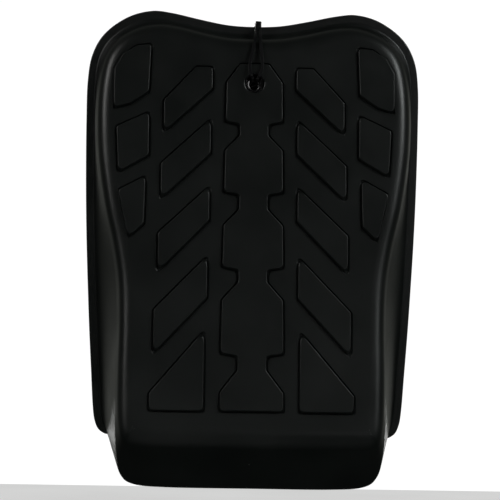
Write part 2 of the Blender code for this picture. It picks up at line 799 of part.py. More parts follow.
def build_keeper(which, height, material):
    """Doubled webbing that holds the ring's inner bar."""
    lie = GAP + WEB / 2
    upper = lie + WEB + GAP
    radius = WIRE + 0.6 + WEB / 2
    turn = arc((BAR_X, KEEPER_BAR_Y), radius, 60, 300, 8)
    path = [(STRAP_END, upper), (BAR_X + 13, upper), (BAR_X + 9, upper + 1.2), *turn]
    path += [(BAR_X + 5.2, lie + 2.3), (BAR_X + 9, lie + 0.5), (BAR_X + 13, lie), (STRAP_END, lie)]
    points, faces = web_points(path, WEB, height, WEB_HALF)
    keeper = add_mesh("keeper_" + which, points, faces, material)
    cut(keeper, *bolt_holes(1, height))
    return keeper


def build_ring(which, height, material):
    """Rectangular wire ring: the keeper holds one long bar and the strap folds round the other."""
    middle = (KEEPER_BAR_Y + ARCH_START) / 2
    tall = (ARCH_START - KEEPER_BAR_Y) / 2
    corners = [(-tall, -RING_HALF), (tall, -RING_HALF), (tall, RING_HALF), (-tall, RING_HALF)]
    path = rounded(corners, 5.0, 2)
    along = np.roll(path, -1, axis=0) - np.roll(path, 1, axis=0)
    along /= np.linalg.norm(along, axis=1)[:, None]
    angles = np.arange(6) * math.pi / 3
    rings = []
    for (y, z), (ty, tz) in zip(path, along):
        ring = [(math.cos(a), math.sin(a) * tz, -math.sin(a) * ty) for a in angles]
        rings.append(np.array(ring) * WIRE + (BAR_X, middle + y, height + z))
    pivot = (BAR_X, KEEPER_BAR_Y, height)
    return add_mesh("ring_" + which, *wrapped(rings), material, pivot=pivot)


def build_plate(name, sign, base, height, material):
    """Pressure plate over the end of a strap or keeper."""
    corners = [(PLATE_HALF * x, WEB_HALF * up) for x, up in ((-1, -1), (1, -1), (1, 1), (-1, 1))]
    centre = np.array([sign * PLATE_X, height])
    wide = rounded(corners, 4.0) + centre
    narrow = (wide - centre) * (0.9, 0.97) + centre
    top = -base - PLATE_THICK
    rings = [at_depth(wide, -base), at_depth(wide, top + 0.6), at_depth(narrow, top)]
    plate = add_mesh(name, *loft(rings), material)
    cut(plate, *bolt_holes(sign, height))
    return plate


# ---------------------------------------------------------------- fasteners


def bolt_seats():
    """Where each bolt head sits, as (x, y, height)."""
    single = GAP + WEB + GAP + PLATE_THICK + GAP
    double = single + WEB + GAP
    seats = []
    for sign in (-1, 1):
        for shift in (-FOOT_BOLT_SPREAD, FOOT_BOLT_SPREAD):
            seats.append((sign * FOOT_BOLT_X, FOOT_THICK + 2 * GAP, GRIP_HEIGHT + shift))
    for height in STRAP_HEIGHTS.values():
        for shift in (-PLATE_BOLT_SPREAD, PLATE_BOLT_SPREAD):
            seats.append((-PLATE_X, single, height + shift))
            seats.append((PLATE_X, double, height + shift))
    return seats


def build_bolts(material, seats):
    """Button-head bolts with a socket, all alike."""
    profile = [(SHANK, -SHANK_LENGTH), (SHANK, 0), (HEAD_RADIUS, 0), (HEAD_RADIUS, 0.8)]
    profile += [(HEAD_RADIUS * 0.6, HEAD_HEIGHT), (1.8, HEAD_HEIGHT), (1.8, HEAD_HEIGHT - 1.4)]
    for number, (x, y, height) in enumerate(seats, 1):
        body = loft(revolved(profile, 1, (x, y, height), SMALL_ROUND))
        add_mesh(f"anchor_bolt_{number:02d}", *body, material)


def build_nuts(material, seats):
    """Tee nuts let into the front of the board, one on each bolt."""
    bore = SHANK + GAP
    profile = [(bore, -1.5), (BARREL, -1.5), (BARREL, -BOARD - GAP), (NUT_FLANGE, -BOARD - GAP)]
    profile += [(NUT_FLANGE, -BOARD - GAP - NUT_THICK), (bore, -BOARD - GAP - NUT_THICK)]
    for number, (x, _, height) in enumerate(seats, 1):
        body = wrapped(revolved(profile, 1, (x, 0, height), SMALL_ROUND))
        add_mesh(f"tee_nut_{number:02d}", *body, material)


# ---------------------------------------------------------------- assembly


def main():
    for obj in list(bpy.data.objects):
        bpy.data.objects.remove(obj)
    skin = make_material("moulded_skin", (0.012, 0.013, 0.013), 0.42)
    foam = make_material("core_foam", (0.32, 0.33, 0.34), 0.95)
    board = make_material("board_plastic", (0.02, 0.02, 0.021), 0.55)
    glossy = make_material("hole_plastic", (0.01, 0.01, 0.011), 0.2)
    nylon = make_material("tie_nylon", (0.015, 0.015, 0.016), 0.35)
    vinyl = make_material("pad_vinyl", (0.02, 0.02, 0.022), 0.6)
    rubber = make_material("grip_rubber", (0.018, 0.018, 0.018), 0.8)
    bracket = make_material("bracket_plastic", (0.022, 0.022, 0.023), 0.45)
    webbing = make_material("webbing", (0.018, 0.018, 0.019), 0.85)
    closure = make_material("closure", (0.025, 0.025, 0.026), 0.95)
    steel = make_material("steel", (0.55, 0.55, 0.56), 0.32, 1.0)
    seats = bolt_seats()
    build_shell(skin)
    build_core(foam, seats)
    build_board(board, seats)
    build_hole_cup(glossy)
    build_cable_tie(nylon)
    build_pad(vinyl)
    build_grip_rod(steel)
    build_grip_sleeve(rubber)
    for side in ("left", "right"):
        build_bracket(side, bracket)
    anchor_top = GAP + WEB + GAP
    for which, height in STRAP_HEIGHTS.items():
        build_strap(which, height, webbing)
        build_loop_patch(which, height, closure)
        build_tab(which, height, webbing)
        build_hook_patch(which, height, closure)
        build_keeper(which, height, webbing)
        build_ring(which, height, steel)
        build_plate("strap_plate_" + which, -1, anchor_top, height, bracket)
        build_plate("keeper_plate_" + which, 1, anchor_top + WEB + GAP, height, bracket)
    build_bolts(steel, seats)
    build_nuts(steel, seats)


main()
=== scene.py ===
"""Looks of the kick paddle: a moulded black striking pad with its board, grip, forearm pad and straps."""

import math

import bmesh
import bpy
import numpy as np
from mathutils import Matrix, Vector
from mathutils.bvhtree import BVHTree
from mathutils.geometry import delaunay_2d_cdt


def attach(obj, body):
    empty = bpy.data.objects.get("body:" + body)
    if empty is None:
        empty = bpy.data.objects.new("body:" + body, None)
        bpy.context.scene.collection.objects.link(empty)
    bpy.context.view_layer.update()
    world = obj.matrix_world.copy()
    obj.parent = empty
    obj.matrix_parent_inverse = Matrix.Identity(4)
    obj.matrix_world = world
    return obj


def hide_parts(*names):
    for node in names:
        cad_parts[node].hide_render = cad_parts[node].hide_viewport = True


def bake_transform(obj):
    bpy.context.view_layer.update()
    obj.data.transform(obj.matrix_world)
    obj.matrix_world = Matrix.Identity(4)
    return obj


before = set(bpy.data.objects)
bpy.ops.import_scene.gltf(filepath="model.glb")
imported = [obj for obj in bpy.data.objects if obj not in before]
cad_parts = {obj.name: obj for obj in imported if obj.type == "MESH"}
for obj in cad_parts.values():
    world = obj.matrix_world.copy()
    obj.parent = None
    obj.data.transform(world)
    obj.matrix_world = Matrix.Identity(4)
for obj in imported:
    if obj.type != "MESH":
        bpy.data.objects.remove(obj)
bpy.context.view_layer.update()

MM = 0.001
GAP = 0.3

# Shape of the moulded front. All lengths are in millimetres. Heights start near the tip of the toe.
TOP_CENTRE = 362.0
HOLE_HEIGHT = 315.0
FACE_TILT = math.radians(12.0)
TOP_DEPTH = 27.0
RIM_STEP = 16.0
TOE_DEPTH = 55.0
TOE_BLEND = 55.0
RIDGE_LIFT = 37.0
RIDGE_BLEND = 100.0
BOARD = 6.0
SKIN = 3.0
FLANGE_WIDTH = 6.5
FOOT_ROUND = 1.2
WALL_RUN = 4.0
ROLL = 10.0
ROLL_START = 9.0
CREASE_ROUND = 1.5
TIP_ROUND = 6.0
TIP_HEIGHT = 45.0
STEPS = 8
FLANGE_POINTS = (
    (0, 362), (21, 363), (43, 367), (65, 371.7), (82, 373.1), (101, 367.6), (118.8, 354.4), (128.5, 337),
    (131.8, 315), (132.2, 285), (132, 255), (131.4, 222), (130.3, 188), (128.8, 155), (127, 120),
    (124.8, 85), (123.2, 60), (121.2, 46), (116.2, 37.8), (104, 35), (60, 34.4), (0, 34.4),
)
CREASE_POINTS = (
    (0, 353.2), (20, 353.9), (40, 357.5), (60, 362.2), (77, 363.9), (94, 360), (108.5, 351), (118.5, 337),
    (123.3, 318), (125, 292), (123.6, 258), (118.2, 220), (110.8, 187), (106.2, 158), (105, 125),
    (105.3, 88), (104.8, 54), (103.2, 23), (99.5, 6), (90, -1.8), (64, -4.1), (0, -4.3),
)

# Tread blocks.
TREAD_HEIGHT = 2.4
TREAD_DRAFT = 0.2
TREAD_ROUND = 0.6
TREAD_CORNER = 3.4
GROOVE_WIDTH = 1.2
GROOVE_DEPTH = 1.5
SLANTED_BLOCKS = (
    ((33, 327.5), (46, 327.5), (71, 300.5), (71, 275), (33, 310)),
    ((33.9, 286.5), (72.6, 250.5), (72.6, 222.5), (33.9, 259)),
    ((34.3, 233.5), (74, 196), (74, 166), (34.3, 206.5)),
    ((35.3, 179), (76.5, 136.5), (76.5, 102.5), (35.3, 146.5)),
    ((37, 121.5), (79, 72.5), (79, 59.8), (37, 59.8)),
)
OUTER_BLOCKS = (
    ((81.5, 345), (93, 343.5), (104, 336.5), (110.4, 325), (110.4, 293.5), (97, 297.5), (83, 307)),
    ((108, 279), (82.4, 291), (82.4, 256.5), (106, 243)),
    ((105.7, 229), (84.4, 240.5), (85.2, 203), (97.5, 192)),
)
SPINE_TOP = 330.5
SPINE_CHAMFER = 15.0
SPINE_NECK = 11.2
SPINE_WIDE_TOP = 22.0
SPINE_WIDE_BOTTOM = 24.8
SPINE_STEPS = ((284.5, 273.5, 262), (229, 215.5, 203), (170.5, 159, 145), (104, 91, 74))
SPINE_BOTTOM = 60.0

# Moulding marks on the toe, as (x, height, radius).
PIPS = ((-0.5, 19.0, 1.3), (-47.5, 21.5, 0.8))

# Hanging hole and cable tie.
HOLE_FRONT = 7.0
HOLE_REAR = 5.0
MOUTH_ROUND = 1.3
CUP_WALL = 1.2
CUP_FLOOR = 1.5
LIP_DEPTH = 6.0
LIP_INNER = 4.4
LIP_BEVEL = 0.9
LIP_LEAN = math.radians(7)
SLOT_HALF = 3.5
SLOT_CLEAR = 0.45
TIE_THICK = 1.2
TIE_WIDE = 2.4
TIE_CLEAR = 1.0
TIE_INSIDE = HOLE_REAR - TIE_THICK - 0.6
TIE_LEAN = math.radians(3.5)
TIE_HEAD = (4.8, 5.6, 5.6)
TIE_HEAD_FRONT = 12.5

# Rear of the paddle.
PAD_HALF = 52.0
PAD_BOTTOM = 32.0
PAD_TOP = 226.0
PAD_MIDDLE = (PAD_TOP + PAD_BOTTOM) / 2
PAD_REACH = (PAD_TOP - PAD_BOTTOM) / 2
PAD_VALLEY = 15.0
PAD_SIDE = 24.0
PAD_EDGE = 12.0
PAD_MARGIN = 3.0
PAD_CELL = 3.0
PAD_BORDER = 15.0
CHANNEL_X = 19.0
SEAM_HALF = 2.4
SEAM_DEPTH = 3.2
END_SEAM_DEPTH = 2.6
STITCH_PITCH = 4.2
STITCH_GAP = 0.14
PAD_THREAD = 0.38
STRAP_THREAD = 0.3
PIPING_RADIUS = 1.5
PIPING_Y = 3.4
PIPING_IN = 2.2
GRIP_HEIGHT = 266.0
GRIP_OUT = 52.0
GRIP_HALF = 53.0
SLEEVE_RADIUS = 15.5
ROD_RADIUS = 8.0
RIB_PITCH = 5.0
BRACKET_THICK = 12.0
BRACKET_CHEEK = 16.5
FOOT_HALF = 33.0
FOOT_WIDE = 28.0
STRAP_HEIGHTS = {"upper": 178.0, "lower": 92.0}
WEB = 2.0
WEB_HALF = 25.0
ARCH_HALF = 60.0
ARCH_START = 32.0
ARCH_RISE = 46.0
FOOT_BEND = 12.0
STRAP_END = 99.0
BAR_X = 66.0
KEEPER_BAR_Y = 8.0
WIRE = 2.0
LOOP_RADIUS = 6.0
PATCH = 1.2
TAB_OFFSET = WEB + 2 * PATCH + 3 * GAP
TAB_START = 24
TAB_END = 104
STRAP_LAST = 12
RING_HALF = 29.0
PLATE_X = 88.0
PLATE_HALF = 8.0
SHANK = 2.4
SHANK_LENGTH = 16.0
HEAD_RADIUS = 5.0
HEAD_HEIGHT = 2.8
HEAD_SIDE = 0.8
HEAD_DOME = 62
HEAD_DOME_SINE = 0.883
SOCKET = 1.5
SOCKET_DEPTH = 1.4
FOOT_THICK = 5.0
FOOT_BOLT_X = 74.0
FOOT_BOLT_SPREAD = 21.0
PLATE_BOLT_SPREAD = 15.0
PLATE_THICK = 2.0

# Camera, in metres and degrees, and the colours of the surroundings as light.
VIEW_AZIMUTH = -2.2
VIEW_ROLL = 1.06
VIEW_DISTANCE = 2.3
FRAME_WIDTH = 0.4
AIM = (0.0002, 0.0, -0.1308)
ROOM_DARK = (0.012, 0.012, 0.0125)
ROOM_SIDE = (0.1, 0.105, 0.095)
ROOM_AHEAD = (0.38, 0.39, 0.36)
ROOM_FLOOR = 0.12


# ---- meshes


def to_part(points):
    return (np.asarray(points, float) - (0.0, 0.0, HOLE_HEIGHT)) * MM


def unit(vectors):
    """The vectors, one in each row, scaled to length 1."""
    return vectors / np.linalg.norm(vectors, axis=1)[:, None]


def add_mesh(name, points, faces, material=None, uv=None):
    """Smooth closed object from millimetre points. uv gives one (u, v) in millimetres for each point."""
    mesh = bpy.data.meshes.new(name)
    mesh.from_pydata([tuple(p) for p in to_part(points)], [], faces)
    if uv is not None:
        layer = mesh.uv_layers.new(name="along")
        index = np.empty(len(mesh.loops), int)
        mesh.loops.foreach_get("vertex_index", index)
        layer.data.foreach_set("uv", (np.asarray(uv, float)[index] * MM).ravel())
    solid = bmesh.new()
    solid.from_mesh(mesh)
    bmesh.ops.remove_doubles(solid, verts=solid.verts, dist=1e-6)
    bmesh.ops.recalc_face_normals(solid, faces=solid.faces)
    solid.to_mesh(mesh)
    solid.free()
    mesh.polygons.foreach_set("use_smooth", [True] * len(mesh.polygons))
    obj = bpy.data.objects.new(name, mesh)
    if material:
        mesh.materials.append(material)
    bpy.context.scene.collection.objects.link(obj)
    return obj


def band_between(rings, closed=False):
    """Quads between successive rings, with open ends or, if closed, back to the first ring."""
    count = len(rings[0])
    faces = []
    for number in range(len(rings) if closed else len(rings) - 1):
        low = number * count
        high = (number + 1) % len(rings) * count
        for i in range(count):
            j = (i + 1) % count
            faces.append((low + i, low + j, high + j, high + i))
    return np.concatenate(rings), faces


def loft(rings):
    """Closed body through the rings, with a cap on the first and the last."""
    points, sides = band_between(rings)
    count = len(rings[0])
    return points, [tuple(range(count)), tuple(range(len(points) - count, len(points))), *sides]


def joined(bodies):
    """Several (points, faces) pairs as one."""
    points = []
    faces = []
    start = 0
    for body_points, body_faces in bodies:
        points.append(np.asarray(body_points, float))
        faces.extend(tuple(i + start for i in face) for face in body_faces)
        start += len(body_points)
    return np.concatenate(points), faces


def revolved(profile, axis, centre, segments):
    """Rings round an axis (0, 1 or 2) from (radius, place along the axis) pairs."""
    angles = np.arange(segments) * 2 * math.pi / segments
    others = [k for k in range(3) if k != axis]
    rings = []
    for radius, along in profile:
        ring = np.zeros((segments, 3))
        ring[:, axis] = along
        ring[:, others[0]] = radius * np.cos(angles)
        ring[:, others[1]] = radius * np.sin(angles)
        rings.append(ring + centre)
    return rings


def cut(obj, points, faces, operation="DIFFERENCE"):
    tool = add_mesh(obj.name + "_tool", points, faces)
    modifier = obj.modifiers.new("shape", "BOOLEAN")
    modifier.operation = operation
    modifier.object = tool
    bake(obj)
    bpy.data.objects.remove(tool)


def bake(obj):
    """Applies the object's modifiers."""
    graph = bpy.context.evaluated_depsgraph_get()
    result = bpy.data.meshes.new_from_object(obj.evaluated_get(graph))
    obj.modifiers.clear()
    obj.data = result


def soften(obj, width, segments, angle):
    """Small rounds on the hard edges of a mesh, with the flat faces kept flat in the shading."""
    bevel = obj.modifiers.new("edges", "BEVEL")
    bevel.width = width * MM
    bevel.segments = segments
    bevel.limit_method = "ANGLE"
    bevel.angle_limit = math.radians(angle)
    bevel.use_clamp_overlap = True
    flatten(obj)


def flatten(obj):
    """Shading normals that follow the large flat faces."""
    normals = obj.modifiers.new("normals", "WEIGHTED_NORMAL")
    normals.weight = 100
    normals.keep_sharp = True


# ---- outlines


def spline(keys, steps):
    """Catmull-Rom curve that leaves and arrives level, since both ends lie on the mid-plane."""
    keys = np.asarray(keys, float)
    padded = np.vstack([keys[1] * (-1, 1), keys, keys[-2] * (-1, 1)])
    return np.vstack([curve_through(padded, steps), keys[-1:]])


def curve_through(padded, steps):
    t = np.arange(steps)[:, None] / steps
    curve = []
    for a, b, c, d in zip(padded, padded[1:], padded[2:], padded[3:]):
        square = 2 * a - 5 * b + 4 * c - d
        cube = 3 * (b - c) + d - a
        curve.append(0.5 * (2 * b + (c - a) * t + square * t**2 + cube * t**3))
    return np.vstack(curve)


def outline(keys):
    """Closed clockwise curve: through the keys of the right half, then back along its mirror image."""
    right = spline(keys, STEPS)
    left = right[-2:0:-1] * (-1, 1)
    return np.vstack([right, left])


def inward(curve, distance):
    """The clockwise closed curve moved inwards."""
    along = unit(np.roll(curve, -1, axis=0) - np.roll(curve, 1, axis=0))
    return curve + distance * np.column_stack([along[:, 1], -along[:, 0]])


def bend(start, corner, end, steps):
    """Points of the round that replaces a corner, with both ends."""
    return [
        (1 - t) ** 2 * start + 2 * t * (1 - t) * corner + t**2 * end
        for t in np.linspace(0, 1, steps + 1)
    ]


def rounded(corners, radius, steps=6):
    corners = np.asarray(corners, float)
    curve = []
    for before, corner, after in zip(np.roll(corners, 1, axis=0), corners, np.roll(corners, -1, axis=0)):
        back = before - corner
        ahead = after - corner
        cosine = back @ ahead / np.linalg.norm(back) / np.linalg.norm(ahead)
        tangent = math.sqrt((1 - cosine) / (1 + cosine))
        reach = min(radius / tangent, 0.45 * np.linalg.norm(back), 0.45 * np.linalg.norm(ahead))
        start = corner + back / np.linalg.norm(back) * reach
        end = corner + ahead / np.linalg.norm(ahead) * reach
        curve += bend(start, corner, end, steps)
    return np.vstack(curve)


def inset_polygon(corners, distance):
    """Corners of the clockwise polygon with every side moved inwards."""
    corners = np.asarray(corners, float)
    ahead = unit(np.roll(corners, -1, axis=0) - corners)
    normal = np.column_stack([ahead[:, 1], -ahead[:, 0]])
    before = np.roll(normal, 1, axis=0)
    share = distance / (1 + (normal * before).sum(axis=1))
    return corners + (normal + before) * share[:, None]


def clockwise(corners):
    corners = np.asarray(corners, float)
    x, height = corners.T
    area = (x * np.roll(height, -1) - np.roll(x, -1) * height).sum()
    return corners if area < 0 else corners[::-1]


def rectangle(wide, tall):
    """Corners of a rectangle round the origin, from half its width and half its height."""
    return [(-wide, -tall), (wide, -tall), (wide, tall), (-wide, tall)]


def mirrored(corners):
    return [(-x, height) for x, height in reversed(corners)]


# ---- moulded front


def face_depth(height):
    return TOP_DEPTH + (TOP_CENTRE - height) * math.tan(FACE_TILT)


def crease_depth(height):
    fall = face_depth(0) - RIM_STEP - TOE_DEPTH
    return face_depth(height) - RIM_STEP - fall * np.clip(1 - height / TOE_BLEND, 0, 1) ** 2


def at_depth(curve, depth):
    return np.column_stack([curve[:, 0], -depth * np.ones(len(curve)), curve[:, 1]])


def lifted(curve):
    height = curve[:, 1]
    rise = RIDGE_LIFT * np.clip(1 - height / RIDGE_BLEND, 0, 1) ** 2
    return np.column_stack([curve[:, 0], height + rise])


def towards(start, end, distance):
    span = end - start
    return start + span * (np.reshape(distance, (-1, 1)) / np.linalg.norm(span, axis=1)[:, None])


def skin_rings():
    """Rings of the outer surface, from the rear of the flange to the rim of the flat face."""
    flange = outline(FLANGE_POINTS)
    crease = outline(CREASE_POINTS)
    corner = lifted(inward(crease, WALL_RUN))
    rim = inward(corner, ROLL)
    front = BOARD + GAP + SKIN
    edge = [at_depth(inward(flange, inset), front - SKIN + up) for inset, up in flange_edge()]
    foot = at_depth(inward(flange, FLANGE_WIDTH), front)
    crease_line = at_depth(crease, crease_depth(crease[:, 1]))
    corner_line = at_depth(corner, face_depth(corner[:, 1]))
    rim_line = at_depth(rim, face_depth(rim[:, 1]))
    soft = CREASE_ROUND + (TIP_ROUND - CREASE_ROUND) * np.clip(1 - crease[:, 1] / TIP_HEIGHT, 0, 1)
    flat = at_depth(inward(flange, FLANGE_WIDTH - FOOT_ROUND), front)
    foot_bend = bend(flat, foot, towards(foot, crease_line, np.full(len(foot), FOOT_ROUND)), 3)
    low = bend(towards(crease_line, foot, soft), crease_line, towards(crease_line, corner_line, soft), 4)
    high = bend(towards(corner_line, crease_line, ROLL_START), corner_line, rim_line, 9)
    wall = [foot_bend[-1] + (low[0] - foot_bend[-1]) * t for t in np.linspace(0, 1, 7)[1:-1]]
    rise = [low[-1] + (high[0] - low[-1]) * t for t in np.linspace(0, 1, 4)[1:-1]]
    return [*edge, *foot_bend, *wall, *low, *rise, *high]


def flange_edge():
    """Section of the flange's rounded outer edge as (inset, height above its rear face)."""
    return [(0.5, 0.0), (0.12, 0.15), (0.0, 0.5), (0.0, SKIN - 1.0), (0.3, SKIN - 0.3), (1.0, SKIN)]


def block_levels():
    """Section of a block's edge as (inset, level): a groove at its foot, a steep wall, a rounded top."""
    half = GROOVE_WIDTH / 2
    floor = 0.1 - GROOVE_DEPTH
    levels = [(-2 * half - 0.3, 0.0), (-2 * half, -0.15), (0.15 - 2 * half, -0.6), (0.3 - 2 * half, floor)]
    levels += [(-half, -GROOVE_DEPTH), (-0.3, floor), (-0.1, -0.6)]
    for angle in np.radians(np.linspace(0, 90, 6)):
        inset = TREAD_DRAFT + TREAD_ROUND * (1 - math.cos(angle))
        levels.append((inset, TREAD_HEIGHT - TREAD_ROUND + TREAD_ROUND * math.sin(angle)))
    return levels


def block_ring(corners, inset):
    return rounded(inset_polygon(clockwise(corners), inset), TREAD_CORNER)


def hole_rings():
    """Rings of the hole's rounded mouth, from the spine's flat top into the cup."""
    angles = np.arange(64) * 2 * math.pi / 64
    circle = np.column_stack([np.cos(angles), np.sin(angles)])
    radius = cup_radius(face_depth(HOLE_HEIGHT)) + 0.4
    rings = []
    for turn in np.radians(np.linspace(0, 90, 6)):
        wider = MOUTH_ROUND * (1 - math.sin(turn))
        level = TREAD_HEIGHT - MOUTH_ROUND * (1 - math.cos(turn))
        rings.append(on_face(circle * (radius + wider) + (0, HOLE_HEIGHT), level))
    return circle * (radius + MOUTH_ROUND) + (0, HOLE_HEIGHT), rings


def spine_corners():
    half = [(SPINE_NECK, SPINE_TOP), (SPINE_WIDE_TOP, SPINE_TOP - SPINE_CHAMFER)]
    for wide_end, neck_end, wide_again in SPINE_STEPS:
        share = (SPINE_TOP - wide_end) / (SPINE_TOP - SPINE_BOTTOM)
        wide = SPINE_WIDE_TOP + (SPINE_WIDE_BOTTOM - SPINE_WIDE_TOP) * share
        half += [(wide, wide_end), (SPINE_NECK, wide_end - 2), (SPINE_NECK, neck_end), (wide, wide_again)]
    half.append((SPINE_WIDE_BOTTOM, SPINE_BOTTOM))
    return half + mirrored(half)


def striking_face(rim):
    """The flat face inside the rim, with the tread blocks standing on it and the hole in the spine."""
    spine = spine_corners()
    blocks = [spine]
    for corners in SLANTED_BLOCKS + OUTER_BLOCKS:
        blocks += [corners, mirrored(corners)]
    levels = block_levels()
    mouth, mouth_rings = hole_rings()
    feet = [block_ring(corners, levels[0][0]) for corners in blocks]
    bodies = [filled(rim, feet, 0.0), band_between(mouth_rings)]
    for corners in blocks:
        rings = [block_ring(corners, inset) for inset, _ in levels]
        bodies.append(band_between([on_face(ring, level) for ring, (_, level) in zip(rings, levels)]))
        bodies.append(filled(rings[-1], [mouth] if corners is spine else [], TREAD_HEIGHT))
    return joined(bodies)


def cup_radius(depth):
    return HOLE_REAR + (HOLE_FRONT - HOLE_REAR) * depth / face_depth(HOLE_HEIGHT)


def on_face(curve, level=0.0):
    """Points (x, height) on the striking face, raised by level along its normal."""
    outwards = np.array([0.0, -math.cos(FACE_TILT), math.sin(FACE_TILT)])
    return at_depth(curve, face_depth(curve[:, 1])) + outwards * level


def filled(outer, holes, level):
    """Flat region inside the outer curve and outside the holes, as points and triangles."""
    loops = [clockwise(loop)[::-1] for loop in (outer, *holes)]
    points = np.concatenate(loops)
    faces = []
    start = 0
    for loop in loops:
        faces.append(list(range(start, start + len(loop))))
        start += len(loop)
    flat = [Vector(p) for p in points]
    made, _, triangles, _, _, owners = delaunay_2d_cdt(flat, [], faces, 1, 1e-6)
    kept = [tuple(t) for t, owner in zip(triangles, owners) if list(owner) == [0]]
    return on_face(np.array([tuple(p) for p in made]), level), kept


def build_shell(material):
    rings = skin_rings()
    rear = (rings[0], [tuple(range(len(rings[0])))])
    bodies = [rear, band_between(rings), striking_face(rings[-1][:, [0, 2]])]
    shell = add_mesh("shell_visual", *joined(bodies), material)
    flatten(shell)
    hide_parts("strike_shell")
    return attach(shell, "paddle")


def build_pips(shell, material):
    """Two small round moulding marks on the toe."""
    tree = surface_tree(shell)
    domes = []
    for x, height, radius in PIPS:
        centre = under_ray(tree, x, height, -1)
        turns = np.radians(np.linspace(0, 80, 5))
        profile = [(radius * math.cos(a), 0.2 - (0.8 * math.sin(a) + 0.2) * radius * 0.6) for a in turns]
        domes.append(loft(revolved([(radius, 0.6), *profile], 1, centre, 20)))
    pips = add_mesh("toe_marks", *joined(domes), material)
    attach(pips, "paddle")


def build_board(material):
    edge = inward(outline(FLANGE_POINTS), 1.0)
    section = ((2.0, 0.0), (0.9, 0.25), (0.25, 0.9), (0.0, 2.0), (0.0, BOARD + GAP))
    rings = [at_depth(inward(edge, inset), depth) for inset, depth in section]
    board = add_mesh("board_visual", *loft(rings), material)
    cut(board, *slot_cutter())
    board.data.set_sharp_from_angle(angle=math.radians(50))
    flatten(board)
    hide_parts("back_board")
    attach(board, "paddle")


# ---- hanging hole and cable tie


def slot_cutter():
    """Flat slot for the two turns of the tie, through the cup's floor and the board."""
    middle = HOLE_HEIGHT + TIE_INSIDE
    corners = rectangle(SLOT_HALF, TIE_THICK / 2 + SLOT_CLEAR)
    return loft([np.array([(x, y, middle + z) for x, z in corners]) for y in (-BOARD - 2 - CUP_FLOOR, 2)])


def lip(depth):
    """Step round the lower part of the cup's wall, with a bevel that leans in towards the hole's axis."""
    wall = cup_radius(depth) + CUP_WALL / 2
    section = (
        (wall, -depth + 1.0),
        (wall, -depth),
        (LIP_BEVEL + LIP_INNER, -depth),
        (LIP_INNER, -depth + LIP_BEVEL * math.tan(LIP_LEAN)),
        (LIP_INNER, -depth + 1.0),
    )
    rings = []
    for angle in np.radians(np.linspace(150, 395, 50)):
        across, up = math.cos(angle), math.sin(angle)
        rings.append([(radius * across, y, HOLE_HEIGHT + radius * up) for radius, y in section])
    return loft(np.array(rings))


def build_cup(material):
    """Tapered cup that lines the hanging hole, with the tie's slot in its floor."""
    front = face_depth(HOLE_HEIGHT) + TREAD_HEIGHT - 1.5
    rear = BOARD + GAP
    profile = (
        (cup_radius(rear) + CUP_WALL, -rear),
        (cup_radius(front) + CUP_WALL, -front),
        (cup_radius(front) + 0.4, -front),
        (cup_radius(front), -front + 0.8),
        (cup_radius(rear) + 0.3, -rear - CUP_FLOOR - 0.8),
        (cup_radius(rear) - 0.5, -rear - CUP_FLOOR),
    )
    cup = add_mesh("cup_visual", *loft(revolved(profile, 1, (0, 0, HOLE_HEIGHT), 64)), material)
    cut(cup, *slot_cutter())
    cut(cup, *lip(front - LIP_DEPTH), operation="UNION")
    cup.data.set_sharp_from_angle(angle=math.radians(50))
    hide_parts("hole_cup")
    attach(cup, "paddle")


def tie_path():
    """Middle of the right turn as (x, y, height): over the top edge, down to the hole, through it and up."""
    over = TOP_CENTRE + TIE_CLEAR + TIE_THICK / 2
    behind = TIE_CLEAR + TIE_THICK / 2
    face = face_depth(HOLE_HEIGHT) + TREAD_HEIGHT
    inside = HOLE_HEIGHT + TIE_INSIDE
    return (
        (1.3, behind - 2, over),
        (1.3, -9.0, over),
        (1.3, -13.0, over - 0.6),
        (1.4, -17.0, TOP_CENTRE - 2.5),
        (1.9, -26.5, TOP_CENTRE - 9),
        (2.6, -31.5, TOP_CENTRE - 16),
        (5.0, -37.7, HOLE_HEIGHT + 15),
        (3.6, -face - 1.4, HOLE_HEIGHT + 7.6),
        (2.4, -face - 1.2, inside + 1.6),
        (1.5, -face + 2, inside),
        (1.5, 0.6, inside),
        (1.4, behind - 0.2, inside + 0.9),
        (1.3, behind, inside + 3),
        (1.3, behind, over - 2),
    )


def ribbon(path):
    """Closed strip along a loop, with its width along X and thin rounded edges."""
    ahead = unit(np.roll(path, -1, axis=0) - path)
    back = np.roll(ahead, 1, axis=0)
    wide = np.array([1.0, 0.0, 0.0])
    thick = unit(np.cross(ahead + back, wide))
    section = [(-1, -0.5), (-0.8, -1), (0.8, -1), (1, -0.5), (1, 0.5), (0.8, 1), (-0.8, 1), (-1, 0.5)]
    rings = []
    for point, normal in zip(path, thick):
        ring = [point + wide * a * TIE_WIDE / 2 + normal * b * TIE_THICK / 2 for a, b in section]
        rings.append(np.array(ring))
    return band_between(rings, closed=True)


def leaning(points):
    """The points turned about the axis of the hanging hole: the tie hangs a little to the right."""
    points = np.array(points, float)
    x, up = points[:, 0].copy(), points[:, 2] - HOLE_HEIGHT
    points[:, 0] = x * math.cos(TIE_LEAN) + up * math.sin(TIE_LEAN)
    points[:, 2] = up * math.cos(TIE_LEAN) - x * math.sin(TIE_LEAN) + HOLE_HEIGHT
    return points


